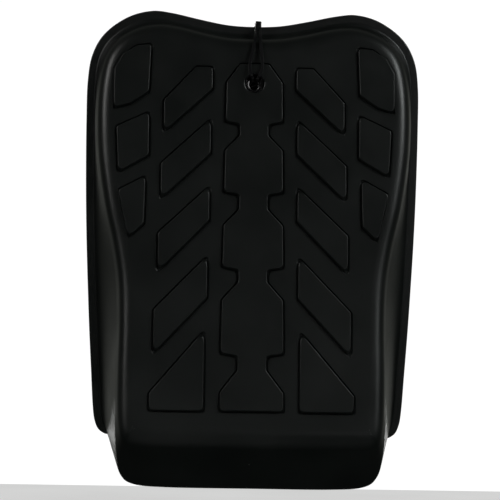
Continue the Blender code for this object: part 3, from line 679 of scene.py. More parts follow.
def build_tie(material):
    keys = np.array(tie_path())
    turn = curve_through(np.vstack([keys[-1:], keys, keys[:2]]), 5)
    right, faces = ribbon(turn)
    tie = add_mesh("tie_visual", leaning(right), faces, material)
    cut(tie, leaning(right * (-1, 1, 1)), faces, operation="UNION")
    wide, deep, tall = TIE_HEAD
    middle = keys[1, 2] - 0.2
    base = rounded(rectangle(wide / 2, deep / 2), 0.8, 3)
    levels = ((-0.5, 0.88), (-0.42, 1.0), (0.42, 1.0), (0.5, 0.88))
    rings = []
    for level, size in levels:
        ring = [(x * size, y * size - TIE_HEAD_FRONT, middle + level * tall) for x, y in base]
        rings.append(leaning(ring))
    cut(tie, *loft(rings), operation="UNION")
    tie.data.set_sharp_from_angle(angle=math.radians(40))
    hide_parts("cable_tie")
    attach(tie, "cable_tie")


# ---- forearm pad


def pad_height(across, up):
    """Thickness of the pad: a valley along the forearm between two rolls, rounded down at the edges."""
    to_edge = min((1 - abs(across)) * PAD_HALF, (1 - abs(up)) * PAD_REACH)
    edge = min(1.0, to_edge / PAD_EDGE)
    crown = min(PAD_SIDE, PAD_VALLEY + (PAD_SIDE - PAD_VALLEY) * (across * PAD_HALF / 40) ** 2)
    return crown * (0.35 + 0.65 * math.sqrt(max(0.0, 1 - (1 - edge) ** 2)))


def pad_half(up, margin):
    """Half of the pad's width at a height from -1 to 1. The ends are rounded off."""
    end = max(0.0, abs(up) - 0.78) / 0.22
    return (PAD_HALF - margin) * (1 - 0.24 * end**2)


def pad_blank():
    """The unstuffed pad, a little smaller than the finished one: top surface and flat base."""
    reach = PAD_REACH - PAD_MARGIN
    rows = np.sin(np.linspace(-1, 1, 61) * math.pi / 2)
    columns = np.sin(np.linspace(-1, 1, 41) * math.pi / 2)
    top = []
    for v in rows:
        for u in columns:
            top.append((u * pad_half(v, PAD_MARGIN), GAP + 0.92 * pad_height(u, v), PAD_MIDDLE + v * reach))
    top = np.array(top)
    base = top * (1, 0, 1) + (0, GAP, 0)
    wide = len(columns)
    size = len(top)
    faces = []
    for r in range(len(rows) - 1):
        for c in range(wide - 1):
            a = r * wide + c
            faces.append((a, a + 1, a + wide + 1, a + wide))
            faces.append((size + a, size + a + wide, size + a + wide + 1, size + a + 1))
    rim = [r * wide for r in range(len(rows))]
    rim += [(len(rows) - 1) * wide + c for c in range(1, wide)]
    rim += [r * wide + wide - 1 for r in range(len(rows) - 2, -1, -1)]
    rim += list(range(wide - 2, 0, -1))
    faces += [(i, j, size + j, size + i) for i, j in zip(rim, rim[1:] + rim[:1])]
    return np.concatenate([top, base]), faces


def stuff(obj, cap):
    """Swells the closed cloth shape by pressure, with no point moving further than cap millimetres."""
    remesh = obj.modifiers.new("cells", "REMESH")
    remesh.mode = "VOXEL"
    remesh.voxel_size = PAD_CELL * MM
    bake(obj)
    before = vertex_places(obj)
    cloth = obj.modifiers.new("cloth", "CLOTH")
    cloth.settings.use_pressure = True
    cloth.settings.uniform_pressure_force = 4.0
    cloth.settings.effector_weights.gravity = 0.0
    cloth.point_cache.frame_start = 1
    cloth.point_cache.frame_end = 20
    for number in range(1, 21):
        bpy.context.scene.frame_set(number)
    bake(obj)
    bpy.context.scene.frame_set(1)
    moved = vertex_places(obj) - before
    length = np.linalg.norm(moved, axis=1)
    moved *= np.minimum(1.0, cap * MM / np.maximum(length, 1e-9))[:, None]
    place_vertices(obj, before + moved)


def vertex_places(obj):
    places = np.empty(len(obj.data.vertices) * 3)
    obj.data.vertices.foreach_get("co", places)
    return places.reshape(-1, 3)


def place_vertices(obj, places):
    obj.data.vertices.foreach_set("co", places.ravel())
    obj.data.update()


def sew_channels(obj):
    """Presses the base flat against the board and pulls the sewn channels down into the pad."""
    places = vertex_places(obj) / MM + (0, 0, HOLE_HEIGHT)
    x, y, height = places.T
    to_end = PAD_REACH - PAD_BORDER - np.abs(height - PAD_MIDDLE)
    fade = np.clip(to_end / 8 + 0.5, 0, 1)
    on_top = np.clip((y - 6) / 4, 0, 1)
    for channel in (-CHANNEL_X, CHANNEL_X):
        y -= SEAM_DEPTH * np.exp(-(((x - channel) / SEAM_HALF) ** 2)) * fade * on_top
    for end in (-1, 1):
        line = PAD_MIDDLE + end * (PAD_REACH - PAD_BORDER)
        across = np.clip((CHANNEL_X + 2 - np.abs(x)) / 3 + 0.5, 0, 1)
        y -= END_SEAM_DEPTH * np.exp(-(((height - line) / SEAM_HALF) ** 2)) * across * on_top
    places[:, 1] = np.maximum(y, GAP)
    place_vertices(obj, (places - (0, 0, HOLE_HEIGHT)) * MM)


def build_pad(material, thread):
    pad = add_mesh("pad_visual", *pad_blank(), material)
    stuff(pad, 3.0)
    finer = pad.modifiers.new("finer", "SUBSURF")
    finer.levels = 1
    bake(pad)
    sew_channels(pad)
    pad.data.polygons.foreach_set("use_smooth", [True] * len(pad.data.polygons))
    if not pad.data.materials:
        pad.data.materials.append(material)
    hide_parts("forearm_pad")
    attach(pad, "paddle")
    build_piping(material)
    build_pad_stitches(pad, thread)


def build_piping(material):
    """Round cord sewn into the seam between the pad's side and its base."""
    reach = PAD_REACH - PIPING_IN
    levels = (1.0, 0.93, 0.85, 0.7, 0.0, -0.7, -0.85, -0.93, -1.0)
    right = [(pad_half(v, PIPING_IN), PAD_MIDDLE + v * reach) for v in levels]
    path = rounded(right + mirrored(right), 9.0, 8)
    line = np.column_stack([path[:, 0], np.full(len(path), PIPING_Y), path[:, 1]])
    cord = band_between(wire(line, PIPING_RADIUS, 12), closed=True)
    piping = add_mesh("pad_piping", *cord, material)
    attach(piping, "paddle")


def build_pad_stitches(pad, thread):
    """Stitches in the bottom of the sewn channels."""
    low, high = PAD_MIDDLE - PAD_REACH + PAD_BORDER, PAD_MIDDLE + PAD_REACH - PAD_BORDER
    lines = [[(x, low), (x, high)] for x in (-CHANNEL_X, CHANNEL_X)]
    lines += [[(-CHANNEL_X, height), (CHANNEL_X, height)] for height in (low, high)]
    tree = surface_tree(pad)
    points = []
    for start, end in lines:
        points.append([under_ray(tree, x, height, 1) for x, height in dotted(start, end, STITCH_PITCH)])
    stitches("pad_stitches", points, PAD_THREAD, thread, "paddle")


def dotted(start, end, pitch):
    """Evenly spaced points from start to end, about one pitch apart."""
    start, end = np.array(start, float), np.array(end, float)
    count = max(2, round(np.linalg.norm(end - start) / pitch))
    return [start + (end - start) * k / count for k in range(count + 1)]


def surface_tree(obj):
    return BVHTree.FromObject(obj, bpy.context.evaluated_depsgraph_get())


def under_ray(tree, x, height, side):
    """Point in millimetres where a ray along Y from the front (-1) or the rear (1) meets a surface."""
    start = Vector(to_part([(x, side * 400, height)])[0])
    hit = tree.ray_cast(start, Vector((0, -side, 0)))[0]
    return np.array(hit) / MM + (0, 0, HOLE_HEIGHT)


def wire(line, radius, sides):
    """Rings round a closed line of points in space."""
    line = np.asarray(line, float)
    along = unit(np.roll(line, -1, axis=0) - np.roll(line, 1, axis=0))
    plane = np.cross(line[1] - line[0], line[len(line) // 3] - line[0])
    plane /= np.linalg.norm(plane)
    out = np.cross(along, plane)
    angles = np.arange(sides) * 2 * math.pi / sides
    rings = []
    for point, away in zip(line, out):
        ring = [point + radius * (math.cos(a) * away + math.sin(a) * plane) for a in angles]
        rings.append(np.array(ring))
    return rings


def stitches(name, lines, radius, material, body):
    """Short threads between neighbouring points of each line, with a gap between one and the next."""
    bodies = []
    for line in lines:
        for start, end in zip(line, line[1:]):
            gap = (end - start) * STITCH_GAP
            bodies.append(thread_loop(start + gap, end - gap, radius))
    made = add_mesh(name, *joined(bodies), material)
    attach(made, body)


def thread_loop(start, end, radius):
    """One stitch: a thin bar with rounded ends."""
    along = (end - start) / np.linalg.norm(end - start)
    side = np.cross(along, (0.3, 0.5, 0.8))
    side /= np.linalg.norm(side)
    other = np.cross(along, side)
    angles = np.arange(6) * math.pi / 3
    rings = []
    for share, scale in ((0.0, 0.45), (0.12, 1.0), (0.88, 1.0), (1.0, 0.45)):
        centre = start + (end - start) * share
        around = [math.cos(a) * side + math.sin(a) * other for a in angles]
        rings.append(np.array([centre + radius * scale * turn for turn in around]))
    return loft(rings)


# ---- hand grip


def build_grip_sleeve(material):
    """Ribbed soft sleeve with a swell in the middle and a lip at each end."""
    profile = []
    for along in np.linspace(-GRIP_HALF + GAP, GRIP_HALF - GAP, 221):
        t = along / (GRIP_HALF - GAP)
        lip = 1.2 * np.clip((abs(t) - 0.86) / 0.05, 0, 1)
        inside = np.clip((0.84 - abs(t)) / 0.03, 0, 1)
        groove = 0.7 * inside * math.exp(-((((along + 100) % RIB_PITCH - RIB_PITCH / 2) / 0.75) ** 2))
        end = 0.9 * np.clip((abs(t) - 0.985) / 0.015, 0, 1) ** 2
        profile.append((SLEEVE_RADIUS - 1.2 + 1.6 * (1 - t * t) + lip - groove - end, along))
    bore = ROD_RADIUS + GAP
    profile += [(bore, GRIP_HALF - GAP), (bore, -GRIP_HALF + GAP)]
    rings = revolved(profile, 0, (0, GRIP_OUT, GRIP_HEIGHT), 64)
    sleeve = add_mesh("sleeve_visual", *band_between(rings, closed=True), material)
    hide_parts("grip_sleeve")
    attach(sleeve, "paddle")


def build_bracket(side, material):
    """Moulded cheek that holds one end of the rod, on a foot that two bolts hold to the board."""
    sign = 1 if side == "right" else -1
    foot_top = GAP + 1.0
    cheek = np.array(arc((GRIP_OUT, GRIP_HEIGHT), BRACKET_CHEEK, 90, -90, 28))
    start = np.array([foot_top, GRIP_HEIGHT + FOOT_HALF - 5])
    waist = np.array([FOOT_THICK + 9, GRIP_HEIGHT + 21])
    low_waist = np.array([FOOT_THICK + 9, GRIP_HEIGHT - 21])
    end = np.array([foot_top, GRIP_HEIGHT - FOOT_HALF + 5])
    upper = bend(start, waist, cheek[0], 12)[:-1]
    lower = bend(cheek[-1], low_waist, end, 12)[1:]
    profile = np.array([*upper, *cheek, *lower])
    middle = np.array([GRIP_OUT * 0.6, GRIP_HEIGHT])
    rings = []
    near = ((0, 1.0), (0.3, 0.35), (1, 0))
    far = [(BRACKET_THICK - x, shrink) for x, shrink in reversed(near)]
    for x, shrink in (*near, *far):
        ring = middle + (profile - middle) * (1 - 0.03 * shrink)
        rings.append(np.array([(sign * (GRIP_HALF + x), y, z) for y, z in ring]))
    bracket = add_mesh("bracket_visual_" + side, *loft(rings), material)
    half = FOOT_WIDE / 2
    centre = np.array([sign * (GRIP_HALF + half), GRIP_HEIGHT])
    wide = rounded(clockwise(rectangle(half, FOOT_HALF)), 7.0, 8)
    levels = ((0.0, GAP), (0.0, FOOT_THICK - 1), (0.25, FOOT_THICK - 0.3), (0.9, FOOT_THICK + GAP))
    foot = [at_depth(inward(wide, inset) + centre, -out) for inset, out in levels]
    cut(bracket, *loft(foot), operation="UNION")
    reach = GRIP_HALF + BRACKET_THICK - 2.5
    bore = ((ROD_RADIUS + GAP, 0), (ROD_RADIUS + GAP, sign * reach))
    cut(bracket, *loft(revolved(bore, 0, (0, GRIP_OUT, GRIP_HEIGHT), 48)))
    soften(bracket, 0.5, 2, 40)
    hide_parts("grip_bracket_" + side)
    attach(bracket, "paddle")


# ---- forearm straps


def arc(centre, radius, start, end, steps):
    angles = np.radians(np.linspace(start, end, steps + 1))
    return [(centre[0] + radius * math.cos(a), centre[1] + radius * math.sin(a)) for a in angles]


def arch(offset, start, end, steps):
    """Points (x, y) on the strap's arch, moved outwards by the offset. Angles in degrees from +X."""
    curve = []
    for angle in np.radians(np.linspace(start, end, steps + 1)):
        point = np.array([ARCH_HALF * math.cos(angle), ARCH_START + ARCH_RISE * math.sin(angle)])
        normal = np.array([math.cos(angle) / ARCH_HALF, math.sin(angle) / ARCH_RISE])
        curve.append(tuple(point + offset * normal / np.linalg.norm(normal)))
    return curve


def closing(start, end):
    """The strap's way back from the ring, closing in on the arch between 0 and 20 degrees."""
    curve = []
    for angle in range(start, end + 1, 2):
        t = min(1.0, angle / 20)
        share = t * t * (3 - 2 * t)
        curve += arch(2 * LOOP_RADIUS + (TAB_OFFSET - 2 * LOOP_RADIUS) * share, angle, angle, 0)
    return curve


def path_length(path):
    steps = np.linalg.norm(np.diff(np.asarray(path, float), axis=0), axis=1)
    return np.concatenate([[0.0], np.cumsum(steps)])


def path_normals(path):
    along = unit(np.gradient(np.asarray(path, float), axis=0))
    return np.column_stack([-along[:, 1], along[:, 0]])


def webbing(name, path, thick, height, half, material, first=0.0):
    """Flat strap along (x, y) points, with its width along Z, rounded edges and heat-cut ends."""
    path = np.asarray(path, float)
    normals = path_normals(path)
    edge = thick / 2
    turns = np.radians(np.linspace(0, 180, 7))
    section = [(edge * math.cos(a), half - edge + edge * math.sin(a)) for a in turns]
    section += [(-out, -up) for out, up in section]
    rings = []
    uv = []
    for number, (point, normal, length) in enumerate(zip(path, normals, path_length(path))):
        thin = 0.6 if number in (0, len(path) - 1) and first == 0.0 else 1.0
        ring = []
        for out, up in section:
            place = point + normal * out * thin
            ring.append((place[0], place[1], height + up))
            uv.append((first + length, up))
        rings.append(np.array(ring))
    strap = add_mesh(name, *loft(rings), material, uv)
    strap.data.set_sharp_from_angle(angle=math.radians(50))
    return strap


def strap_path():
    """The strap from its left anchor over the forearm and round the ring's outer bar."""
    lie = GAP + WEB / 2
    foot = arc((-ARCH_HALF - FOOT_BEND, lie + FOOT_BEND), FOOT_BEND, -90, 0, 10)
    over = arch(0, 180, 0, 72)
    fold = arc((BAR_X, ARCH_START), LOOP_RADIUS, 180, 360, 18)[1:]
    straight = [(x, lie) for x in np.linspace(-STRAP_END, -ARCH_HALF - FOOT_BEND - 3, 8)]
    rise = [(-ARCH_HALF, y) for y in (18.0, 22.5, 27.0)]
    return [*straight, *foot, *rise, *over, *fold, *closing(2, STRAP_LAST)]


def build_straps(webbing_material, loop, hook, thread):
    for which, height in STRAP_HEIGHTS.items():
        path = strap_path()
        strap = webbing("strap_visual_" + which, path, WEB, height, WEB_HALF, webbing_material)
        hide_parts("strap_" + which)
        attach(strap, "paddle")
        build_loop_patch(which, height, loop, thread)
        build_tab(which, height, webbing_material, path_length(path)[-1])
        build_tab_sewing(which, height, hook, thread)
        build_keeper(which, height, webbing_material)


def build_loop_patch(which, height, material, thread):
    """Loop side of the closure, sewn to the outside of the arch."""
    path = arch(WEB / 2 + GAP + PATCH / 2, TAB_START + 8, TAB_END + 22, 44)
    patch = webbing("loop_visual_" + which, path, PATCH, height, WEB_HALF - 2, material)
    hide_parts("loop_patch_" + which)
    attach(patch, "paddle")
    top = WEB / 2 + GAP + PATCH + 0.1
    lines = sewn_border(top, TAB_START + 10, TAB_END + 20, height, WEB_HALF - 4.5)
    stitches("loop_stitches_" + which, lines, STRAP_THREAD, thread, "paddle")


def sewn_border(offset, start, end, height, half):
    """Stitch lines round a patch on the arch: two along the strap and one across each end."""
    curve = arch(offset, start, end, round((end - start) / 3))
    lines = [[np.array((x, y, height + side)) for x, y in curve] for side in (-half, half)]
    for x, y in (curve[0], curve[-1]):
        lines.append([np.array((x, y, z)) for z in np.linspace(height - half, height + half, 14)])
    return lines


def build_tab(which, height, material, first):
    """Free end of the strap, lying on the closure, from where it leaves the fold round the ring."""
    path = [*closing(STRAP_LAST, TAB_START), *arch(TAB_OFFSET, TAB_START + 2, TAB_END, 42)]
    tab = webbing("tab_visual_" + which, path, WEB, height, WEB_HALF, material, first)
    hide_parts("strap_tab_" + which)
    start = to_part([(*closing(STRAP_LAST, STRAP_LAST)[0], height)])[0]
    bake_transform(tab)


def build_tab_sewing(which, height, hook, thread):
    """Hook side of the closure under the tab, and the stitches that hold it."""
    path = arch(TAB_OFFSET - WEB / 2 - GAP - PATCH / 2, TAB_START + 10, TAB_END - 2, 34)
    patch = webbing("hook_visual_" + which, path, PATCH, height, WEB_HALF - 2, hook)
    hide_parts("hook_patch_" + which)
    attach(patch, "tab_" + which)
    top = TAB_OFFSET + WEB / 2 + 0.1
    lines = sewn_border(top, TAB_START + 12, TAB_END - 4, height, WEB_HALF - 4.5)
    stitches("tab_stitches_" + which, lines, STRAP_THREAD, thread, "tab_" + which)


def build_keeper(which, height, material):
    """Doubled webbing that holds the ring's inner bar."""
    lie = GAP + WEB / 2
    upper = lie + WEB + GAP
    radius = WIRE + 0.6 + WEB / 2
    turn = arc((BAR_X, KEEPER_BAR_Y), radius, 60, 300, 24)
    keys = [(STRAP_END, upper), (BAR_X + 21, upper), (BAR_X + 13, upper), (BAR_X + 9, upper + 1.2), *turn]
    keys += [(BAR_X + 5.2, lie + 2.3), (BAR_X + 9, lie + 0.5), (BAR_X + 13, lie), (BAR_X + 21, lie)]
    keys.append((STRAP_END, lie))
    keeper = webbing("keeper_visual_" + which, keys, WEB, height, WEB_HALF, material)
    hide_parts("keeper_" + which)
    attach(keeper, "paddle")


def build_ring(which, height, material):
    """Rectangular wire ring: the keeper holds one long bar and the strap folds round the other."""
    middle = (KEEPER_BAR_Y + ARCH_START) / 2
    tall = (ARCH_START - KEEPER_BAR_Y) / 2
    path = rounded(rectangle(tall, RING_HALF), 5.0, 10)
    line = np.array([(BAR_X, middle + y, height + z) for y, z in path])
    bar = band_between(wire(line, WIRE, 20), closed=True)
    ring = add_mesh("ring_visual_" + which, *bar, material)
    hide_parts("ring_" + which)
    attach(ring, "ring_" + which)


def build_plate(name, sign, base, height, material):
    """Pressure plate over the end of a strap or keeper."""
    wide = rounded(clockwise(rectangle(PLATE_HALF, WEB_HALF)), 4.0, 8)
    centre = np.array([sign * PLATE_X, height])
    levels = ((0.0, 0.0), (0.0, PLATE_THICK - 0.8), (0.2, PLATE_THICK - 0.25), (0.8, PLATE_THICK))
    rings = [at_depth(inward(wide, inset) + centre, -base - out) for inset, out in levels]
    plate = add_mesh(name + "_visual", *loft(rings), material)
    flatten(plate)
    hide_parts(name)
    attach(plate, "paddle")


# ---- fasteners


def bolt_seats():
    """Where each bolt head sits, as (x, y, height)."""
    single = GAP + WEB + GAP + PLATE_THICK + GAP
    double = single + WEB + GAP
    seats = []
    for sign in (-1, 1):
        for shift in (-FOOT_BOLT_SPREAD, FOOT_BOLT_SPREAD):
            seats.append((sign * FOOT_BOLT_X, FOOT_THICK + 2 * GAP, GRIP_HEIGHT + shift))
    for height in STRAP_HEIGHTS.values():
        for shift in (-PLATE_BOLT_SPREAD, PLATE_BOLT_SPREAD):
            seats.append((-PLATE_X, single, height + shift))
            seats.append((PLATE_X, double, height + shift))
    return seats


def build_bolts(material):
    """Button-head bolts with a hexagon socket."""
    angles = np.arange(36) * math.pi / 18
    hexagon = 1 / np.cos((angles + math.pi / 6) % (math.pi / 3) - math.pi / 6)
    section = [(SHANK, -SHANK_LENGTH, 0), (SHANK, 0, 0), (HEAD_RADIUS - 0.2, 0, 0), (HEAD_RADIUS, 0.2, 0)]
    for turn in np.radians(np.linspace(0, HEAD_DOME, 6)):
        rise = (HEAD_HEIGHT - HEAD_SIDE) * math.sin(turn) / HEAD_DOME_SINE
        section.append((HEAD_RADIUS * math.cos(turn), HEAD_SIDE + rise, 0))
    section += [(SOCKET + 0.25, HEAD_HEIGHT, 1), (SOCKET, HEAD_HEIGHT - 0.15, 1)]
    section.append((SOCKET, HEAD_HEIGHT - SOCKET_DEPTH, 1))
    for number, (x, y, height) in enumerate(bolt_seats(), 1):
        rings = []
        for radius, up, socket in section:
            reach = radius * (hexagon if socket else np.ones(36))
            ring = [(x + r * math.cos(a), y + up, height + r * math.sin(a)) for r, a in zip(reach, angles)]
            rings.append(np.array(ring))
        bolt = add_mesh(f"bolt_visual_{number:02d}", *loft(rings), material)
        bolt.data.set_sharp_from_angle(angle=math.radians(40))
        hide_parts(f"anchor_bolt_{number:02d}")
        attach(bolt, "paddle")


def dress(names, material):
    """New material for CAD nodes whose shape is kept."""
    for name in names:
        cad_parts[name].material_slots[0].material = material


# ---- materials


def shader_of(name):
    """A new material, its node tree and its shader."""
    material = bpy.data.materials.new(name)
    material.use_nodes = True
    tree = material.node_tree
    return material, tree, tree.nodes["Principled BSDF"]


def object_place(tree):
    return tree.nodes.new("ShaderNodeTexCoord").outputs["Object"]


def node(tree, kind, **inputs):
    """A new node with the given inputs set. An underscore stands for the space in an input's name."""
    made = tree.nodes.new(kind)
    for key, value in inputs.items():
        made.inputs[key.replace("_", " ")].default_value = value
    return made


def grain(tree, coordinates, scale, detail=3.0):
    """Noise of the given number of cells per metre, as a node."""
    noise = node(tree, "ShaderNodeTexNoise", Scale=scale, Detail=detail)
    tree.links.new(coordinates, noise.inputs["Vector"])
    return noise


def bump_into(tree, shader, height, strength, distance):
    bump = node(tree, "ShaderNodeBump", Strength=strength, Distance=distance)
    tree.links.new(height, bump.inputs["Height"])
    tree.links.new(bump.outputs["Normal"], shader.inputs["Normal"])


def spread(tree, value, low, high, target):
    """The middle of a noise value's range mapped to low to high, into a socket."""
    span = node(tree, "ShaderNodeMapRange", From_Min=0.3, From_Max=0.7, To_Min=low, To_Max=high)
    tree.links.new(value, span.inputs["Value"])
    tree.links.new(span.outputs["Result"], target)


def ramp_of(tree, value, *stops):
    """Colour at value on a ramp with (position, colour) stops in rising order."""
    ramp = tree.nodes.new("ShaderNodeValToRGB")
    elements = ramp.color_ramp.elements
    for position, _ in stops[1:-1]:
        elements.new(position)
    for element, (position, colour) in zip(elements, stops):
        element.position = position
        element.color = (*colour, 1)
    tree.links.new(value, ramp.inputs["Fac"])
    return ramp.outputs["Color"]


def tinted(tree, value, dark, light, target):
    tree.links.new(ramp_of(tree, value, (0.3, dark), (0.7, light)), target)


def plastic(name, dark, light, rough, grain_scale, grain_depth, strength=0.5):
    """Moulded plastic: fine grain, slight blotches in colour and gloss."""
    material, tree, shader = shader_of(name)
    place = object_place(tree)
    blotch = grain(tree, place, 26.0, 4.0)
    fine = grain(tree, place, grain_scale, 2.0)
    tinted(tree, blotch.outputs["Fac"], dark, light, shader.inputs["Base Color"])
    spread(tree, blotch.outputs["Fac"], rough[0], rough[1], shader.inputs["Roughness"])
    bump_into(tree, shader, fine.outputs["Fac"], strength, grain_depth * MM)
    return material


def metal(name, colour, rough):
    material, tree, shader = shader_of(name)
    place = object_place(tree)
    shader.inputs["Metallic"].default_value = 1.0
    blotch = grain(tree, place, 300.0)
    light = tuple(min(1.0, c * 1.12) for c in colour)
    tinted(tree, blotch.outputs["Fac"], colour, light, shader.inputs["Base Color"])
    spread(tree, blotch.outputs["Fac"], rough[0], rough[1], shader.inputs["Roughness"])
    bump_into(tree, shader, grain(tree, place, 2500.0).outputs["Fac"], 0.25, 0.02 * MM)
    return material


def woven(name, dark, light, pitch):
    """Webbing: ribs across the strap and yarns along it, both from the strip's own UV map in metres."""
    material, tree, shader = shader_of(name)
    place = tree.nodes.new("ShaderNodeUVMap")
    place.uv_map = "along"
    waves = []
    for direction, size in (("X", pitch), ("Y", pitch * 0.8)):
        wave = node(tree, "ShaderNodeTexWave", Scale=0.314 / (size * MM), Distortion=0.6, Detail=1.0)
        wave.bands_direction = direction
        tree.links.new(place.outputs["UV"], wave.inputs["Vector"])
        waves.append(wave.outputs["Fac"])
    weave = tree.nodes.new("ShaderNodeMath")
    weave.operation = "MULTIPLY"
    tree.links.new(waves[0], weave.inputs[0])
    tree.links.new(waves[1], weave.inputs[1])
    tinted(tree, weave.outputs["Value"], dark, light, shader.inputs["Base Color"])
    shader.inputs["Roughness"].default_value = 0.8
    shader.inputs["Sheen Weight"].default_value = 0.25
    bump_into(tree, shader, weave.outputs["Value"], 0.8, 0.35 * MM)
    return material


def fleece(name, dark, light, scale):
    """Hook or loop fabric: a dense random pile."""
    material, tree, shader = shader_of(name)
    place = object_place(tree)
    pile = node(tree, "ShaderNodeTexVoronoi", Scale=scale)
    tree.links.new(place, pile.inputs["Vector"])
    tinted(tree, pile.outputs["Distance"], dark, light, shader.inputs["Base Color"])
    shader.inputs["Roughness"].default_value = 0.95
    shader.inputs["Sheen Weight"].default_value = 0.5
    bump_into(tree, shader, pile.outputs["Distance"], 1.0, 0.6 * MM)
    return material


def vinyl(name, dark, light):
    """Coated fabric with a leather grain."""
    material, tree, shader = shader_of(name)
    place = object_place(tree)
    cells = node(tree, "ShaderNodeTexVoronoi", Scale=700.0)
    tree.links.new(place, cells.inputs["Vector"])
    blotch = grain(tree, place, 30.0)
    tinted(tree, blotch.outputs["Fac"], dark, light, shader.inputs["Base Color"])
    spread(tree, blotch.outputs["Fac"], 0.42, 0.55, shader.inputs["Roughness"])
    bump_into(tree, shader, cells.outputs["Distance"], 0.5, 0.25 * MM)
    return material


# ---- light, floor and camera


def build_world():
    """White where the camera sees it. As light, it is pale beyond the paddle and fades to the floor."""
    world = bpy.data.worlds.new("studio")
    bpy.context.scene.world = world
    world.use_nodes = True
    tree = world.node_tree
    parts = tree.nodes.new("ShaderNodeSeparateXYZ")
    tree.links.new(tree.nodes.new("ShaderNodeTexCoord").outputs["Generated"], parts.inputs["Vector"])
    ahead = node(tree, "ShaderNodeMapRange", From_Min=-1.0, From_Max=1.0)
    tree.links.new(parts.outputs["Y"], ahead.inputs["Value"])
    stops = ((0.45, ROOM_DARK), (0.9, ROOM_SIDE), (0.97, ROOM_AHEAD))
    room = ramp_of(tree, ahead.outputs["Result"], *stops)
    fade = node(tree, "ShaderNodeMapRange", From_Min=-0.3, From_Max=0.1, To_Min=ROOM_FLOOR)
    fade.interpolation_type = "SMOOTHSTEP"
    tree.links.new(parts.outputs["Z"], fade.inputs["Value"])
    faded = tree.nodes.new("ShaderNodeVectorMath")
    faded.operation = "SCALE"
    tree.links.new(room, faded.inputs["Vector"])
    tree.links.new(fade.outputs["Result"], faded.inputs["Scale"])
    path = tree.nodes.new("ShaderNodeLightPath")
    seen = tree.nodes.new("ShaderNodeMix")
    seen.data_type = "RGBA"
    light, white = (s for s in seen.inputs if s.type == "RGBA")
    white.default_value = (1, 1, 1, 1)
    mixed = next(s for s in seen.outputs if s.type == "RGBA")
    tree.links.new(path.outputs["Is Camera Ray"], seen.inputs["Factor"])
    tree.links.new(faded.outputs["Vector"], light)
    tree.links.new(mixed, tree.nodes["Background"].inputs["Color"])
    tree.nodes["Background"].inputs["Strength"].default_value = 1.05


def area_light(name, position, size, power, colour=(1, 1, 1), size_y=None):
    lamp = bpy.data.lights.new(name, "AREA")
    lamp.energy = power
    lamp.color = colour
    lamp.size = size
    if size_y:
        lamp.shape = "RECTANGLE"
        lamp.size_y = size_y
    obj = bpy.data.objects.new(name, lamp)
    obj.location = position
    aim = Vector((0, 0, -0.12)) - Vector(position)
    obj.rotation_euler = aim.to_track_quat("-Z", "Y").to_euler()
    bpy.context.scene.collection.objects.link(obj)
    return obj


def build_lights():
    area_light("key_left", (-1.5, -0.9, 0.9), 0.5, 8, (1.0, 1.0, 0.98), 0.9)
    area_light("key_right", (1.6, -1.0, 1.1), 0.5, 15, (0.95, 1.0, 0.99), 0.9)
    area_light("under", (0.0, -0.75, -0.85), 0.5, 4.5).visible_glossy = False
    area_light("glint_right", (0.64, -2.6, 0.22), 0.25, 0.9, size_y=0.8).visible_diffuse = False
    area_light("glint_left", (-0.38, -2.6, 0.58), 0.22, 0.25).visible_diffuse = False
    area_light("rear", (0.0, 2.2, 0.3), 1.6, 45)


def build_floor():
    """Pale floor well under the hanging paddle. It doesn't mirror or light the paddle's underside."""
    bpy.ops.mesh.primitive_plane_add(size=14, location=(0, 0, -0.9))
    floor = bpy.context.object
    floor.name = "floor"
    floor.visible_glossy = False
    floor.visible_diffuse = False
    material, tree, shader = shader_of("pale_floor")
    place = object_place(tree)
    tone = grain(tree, place, 3.0).outputs["Fac"]
    tinted(tree, tone, (0.88, 0.88, 0.88), (0.92, 0.92, 0.92), shader.inputs["Base Color"])
    tinted(tree, tone, (0.95, 0.95, 0.95), (1, 1, 1), shader.inputs["Emission Color"])
    shader.inputs["Emission Strength"].default_value = 0.6
    shader.inputs["Roughness"].default_value = 0.9
    floor.data.materials.append(material)


def build_camera():
    camera = bpy.data.cameras.new("camera")
    camera.sensor_width = 36.0
    camera.lens = 36.0 * VIEW_DISTANCE / FRAME_WIDTH
    camera.clip_end = 100.0
    obj = bpy.data.objects.new("camera", camera)
    angle = math.radians(VIEW_AZIMUTH)
    away = Vector((math.sin(angle), -math.cos(angle), 0.0))
    turn = (-away).to_track_quat("-Z", "Y").to_matrix() @ Matrix.Rotation(math.radians(VIEW_ROLL), 3, "Z")
    obj.matrix_world = Matrix.Translation(Vector(AIM) + away * VIEW_DISTANCE) @ turn.to_4x4()
    bpy.context.scene.collection.objects.link(obj)
    bpy.context.scene.camera = obj


# ---- scene


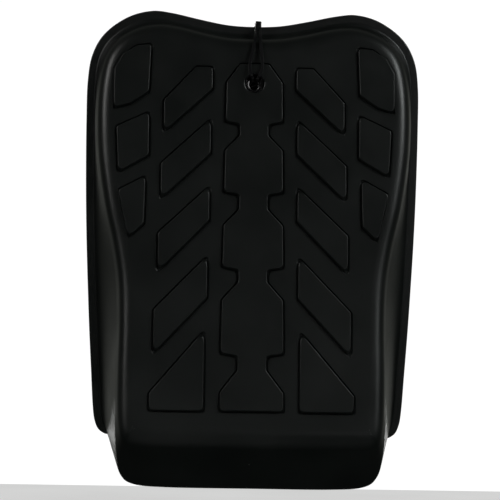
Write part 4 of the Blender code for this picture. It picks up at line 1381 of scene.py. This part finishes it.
def main():
    scene = bpy.context.scene
    scene.view_settings.view_transform = "Standard"
    skin = plastic(
        "moulded_skin", (0.0056, 0.0069, 0.0063), (0.0085, 0.0099, 0.0092), (0.31, 0.39), 1500.0, 0.12
    )
    board = plastic("board_sheet", (0.02, 0.02, 0.021), (0.03, 0.03, 0.032), (0.5, 0.62), 1100.0, 0.25)
    glossy = plastic(
        "hole_gloss", (0.004, 0.004, 0.0045), (0.006, 0.006, 0.007), (0.08, 0.14), 400.0, 0.02, 0.1
    )
    glossy.node_tree.nodes["Principled BSDF"].inputs["IOR"].default_value = 2.4
    nylon = plastic("tie_nylon", (0.003, 0.003, 0.0035), (0.005, 0.005, 0.0055), (0.3, 0.4), 900.0, 0.05)
    rubber = plastic("grip_rubber", (0.012, 0.012, 0.0125), (0.019, 0.019, 0.02), (0.7, 0.85), 1800.0, 0.2)
    bracket = plastic(
        "bracket_nylon", (0.014, 0.014, 0.015), (0.022, 0.022, 0.023), (0.38, 0.5), 1300.0, 0.12
    )
    thread = plastic("thread", (0.05, 0.05, 0.053), (0.09, 0.09, 0.095), (0.55, 0.7), 3000.0, 0.1)
    strap = woven("strap_webbing", (0.006, 0.006, 0.0065), (0.028, 0.028, 0.03), 1.7)
    closure = fleece("loop_pile", (0.008, 0.008, 0.009), (0.035, 0.035, 0.037), 1400.0)
    hooks = fleece("hook_pile", (0.005, 0.005, 0.006), (0.025, 0.025, 0.027), 900.0)
    steel = metal("zinc_steel", (0.52, 0.53, 0.55), (0.24, 0.36))
    foam = fleece("core_foam", (0.25, 0.26, 0.27), (0.36, 0.37, 0.38), 900.0)
    build_pips(build_shell(skin), skin)
    build_board(board)
    build_cup(glossy)
    build_tie(nylon)
    build_pad(vinyl("pad_vinyl", (0.016, 0.016, 0.017), (0.025, 0.025, 0.027)), thread)
    build_grip_sleeve(rubber)
    for side in ("left", "right"):
        build_bracket(side, bracket)
    build_straps(strap, closure, hooks, thread)
    for which, height in STRAP_HEIGHTS.items():
        build_ring(which, height, steel)
        build_plate("strap_plate_" + which, -1, GAP + WEB + GAP, height, bracket)
        build_plate("keeper_plate_" + which, 1, GAP + 2 * (WEB + GAP), height, bracket)
    build_bolts(steel)
    dress(["foam_core"], foam)
    dress(["grip_rod", *(f"tee_nut_{number:02d}" for number in range(1, 13))], steel)
    build_world()
    build_lights()
    build_floor()
    build_camera()


main()
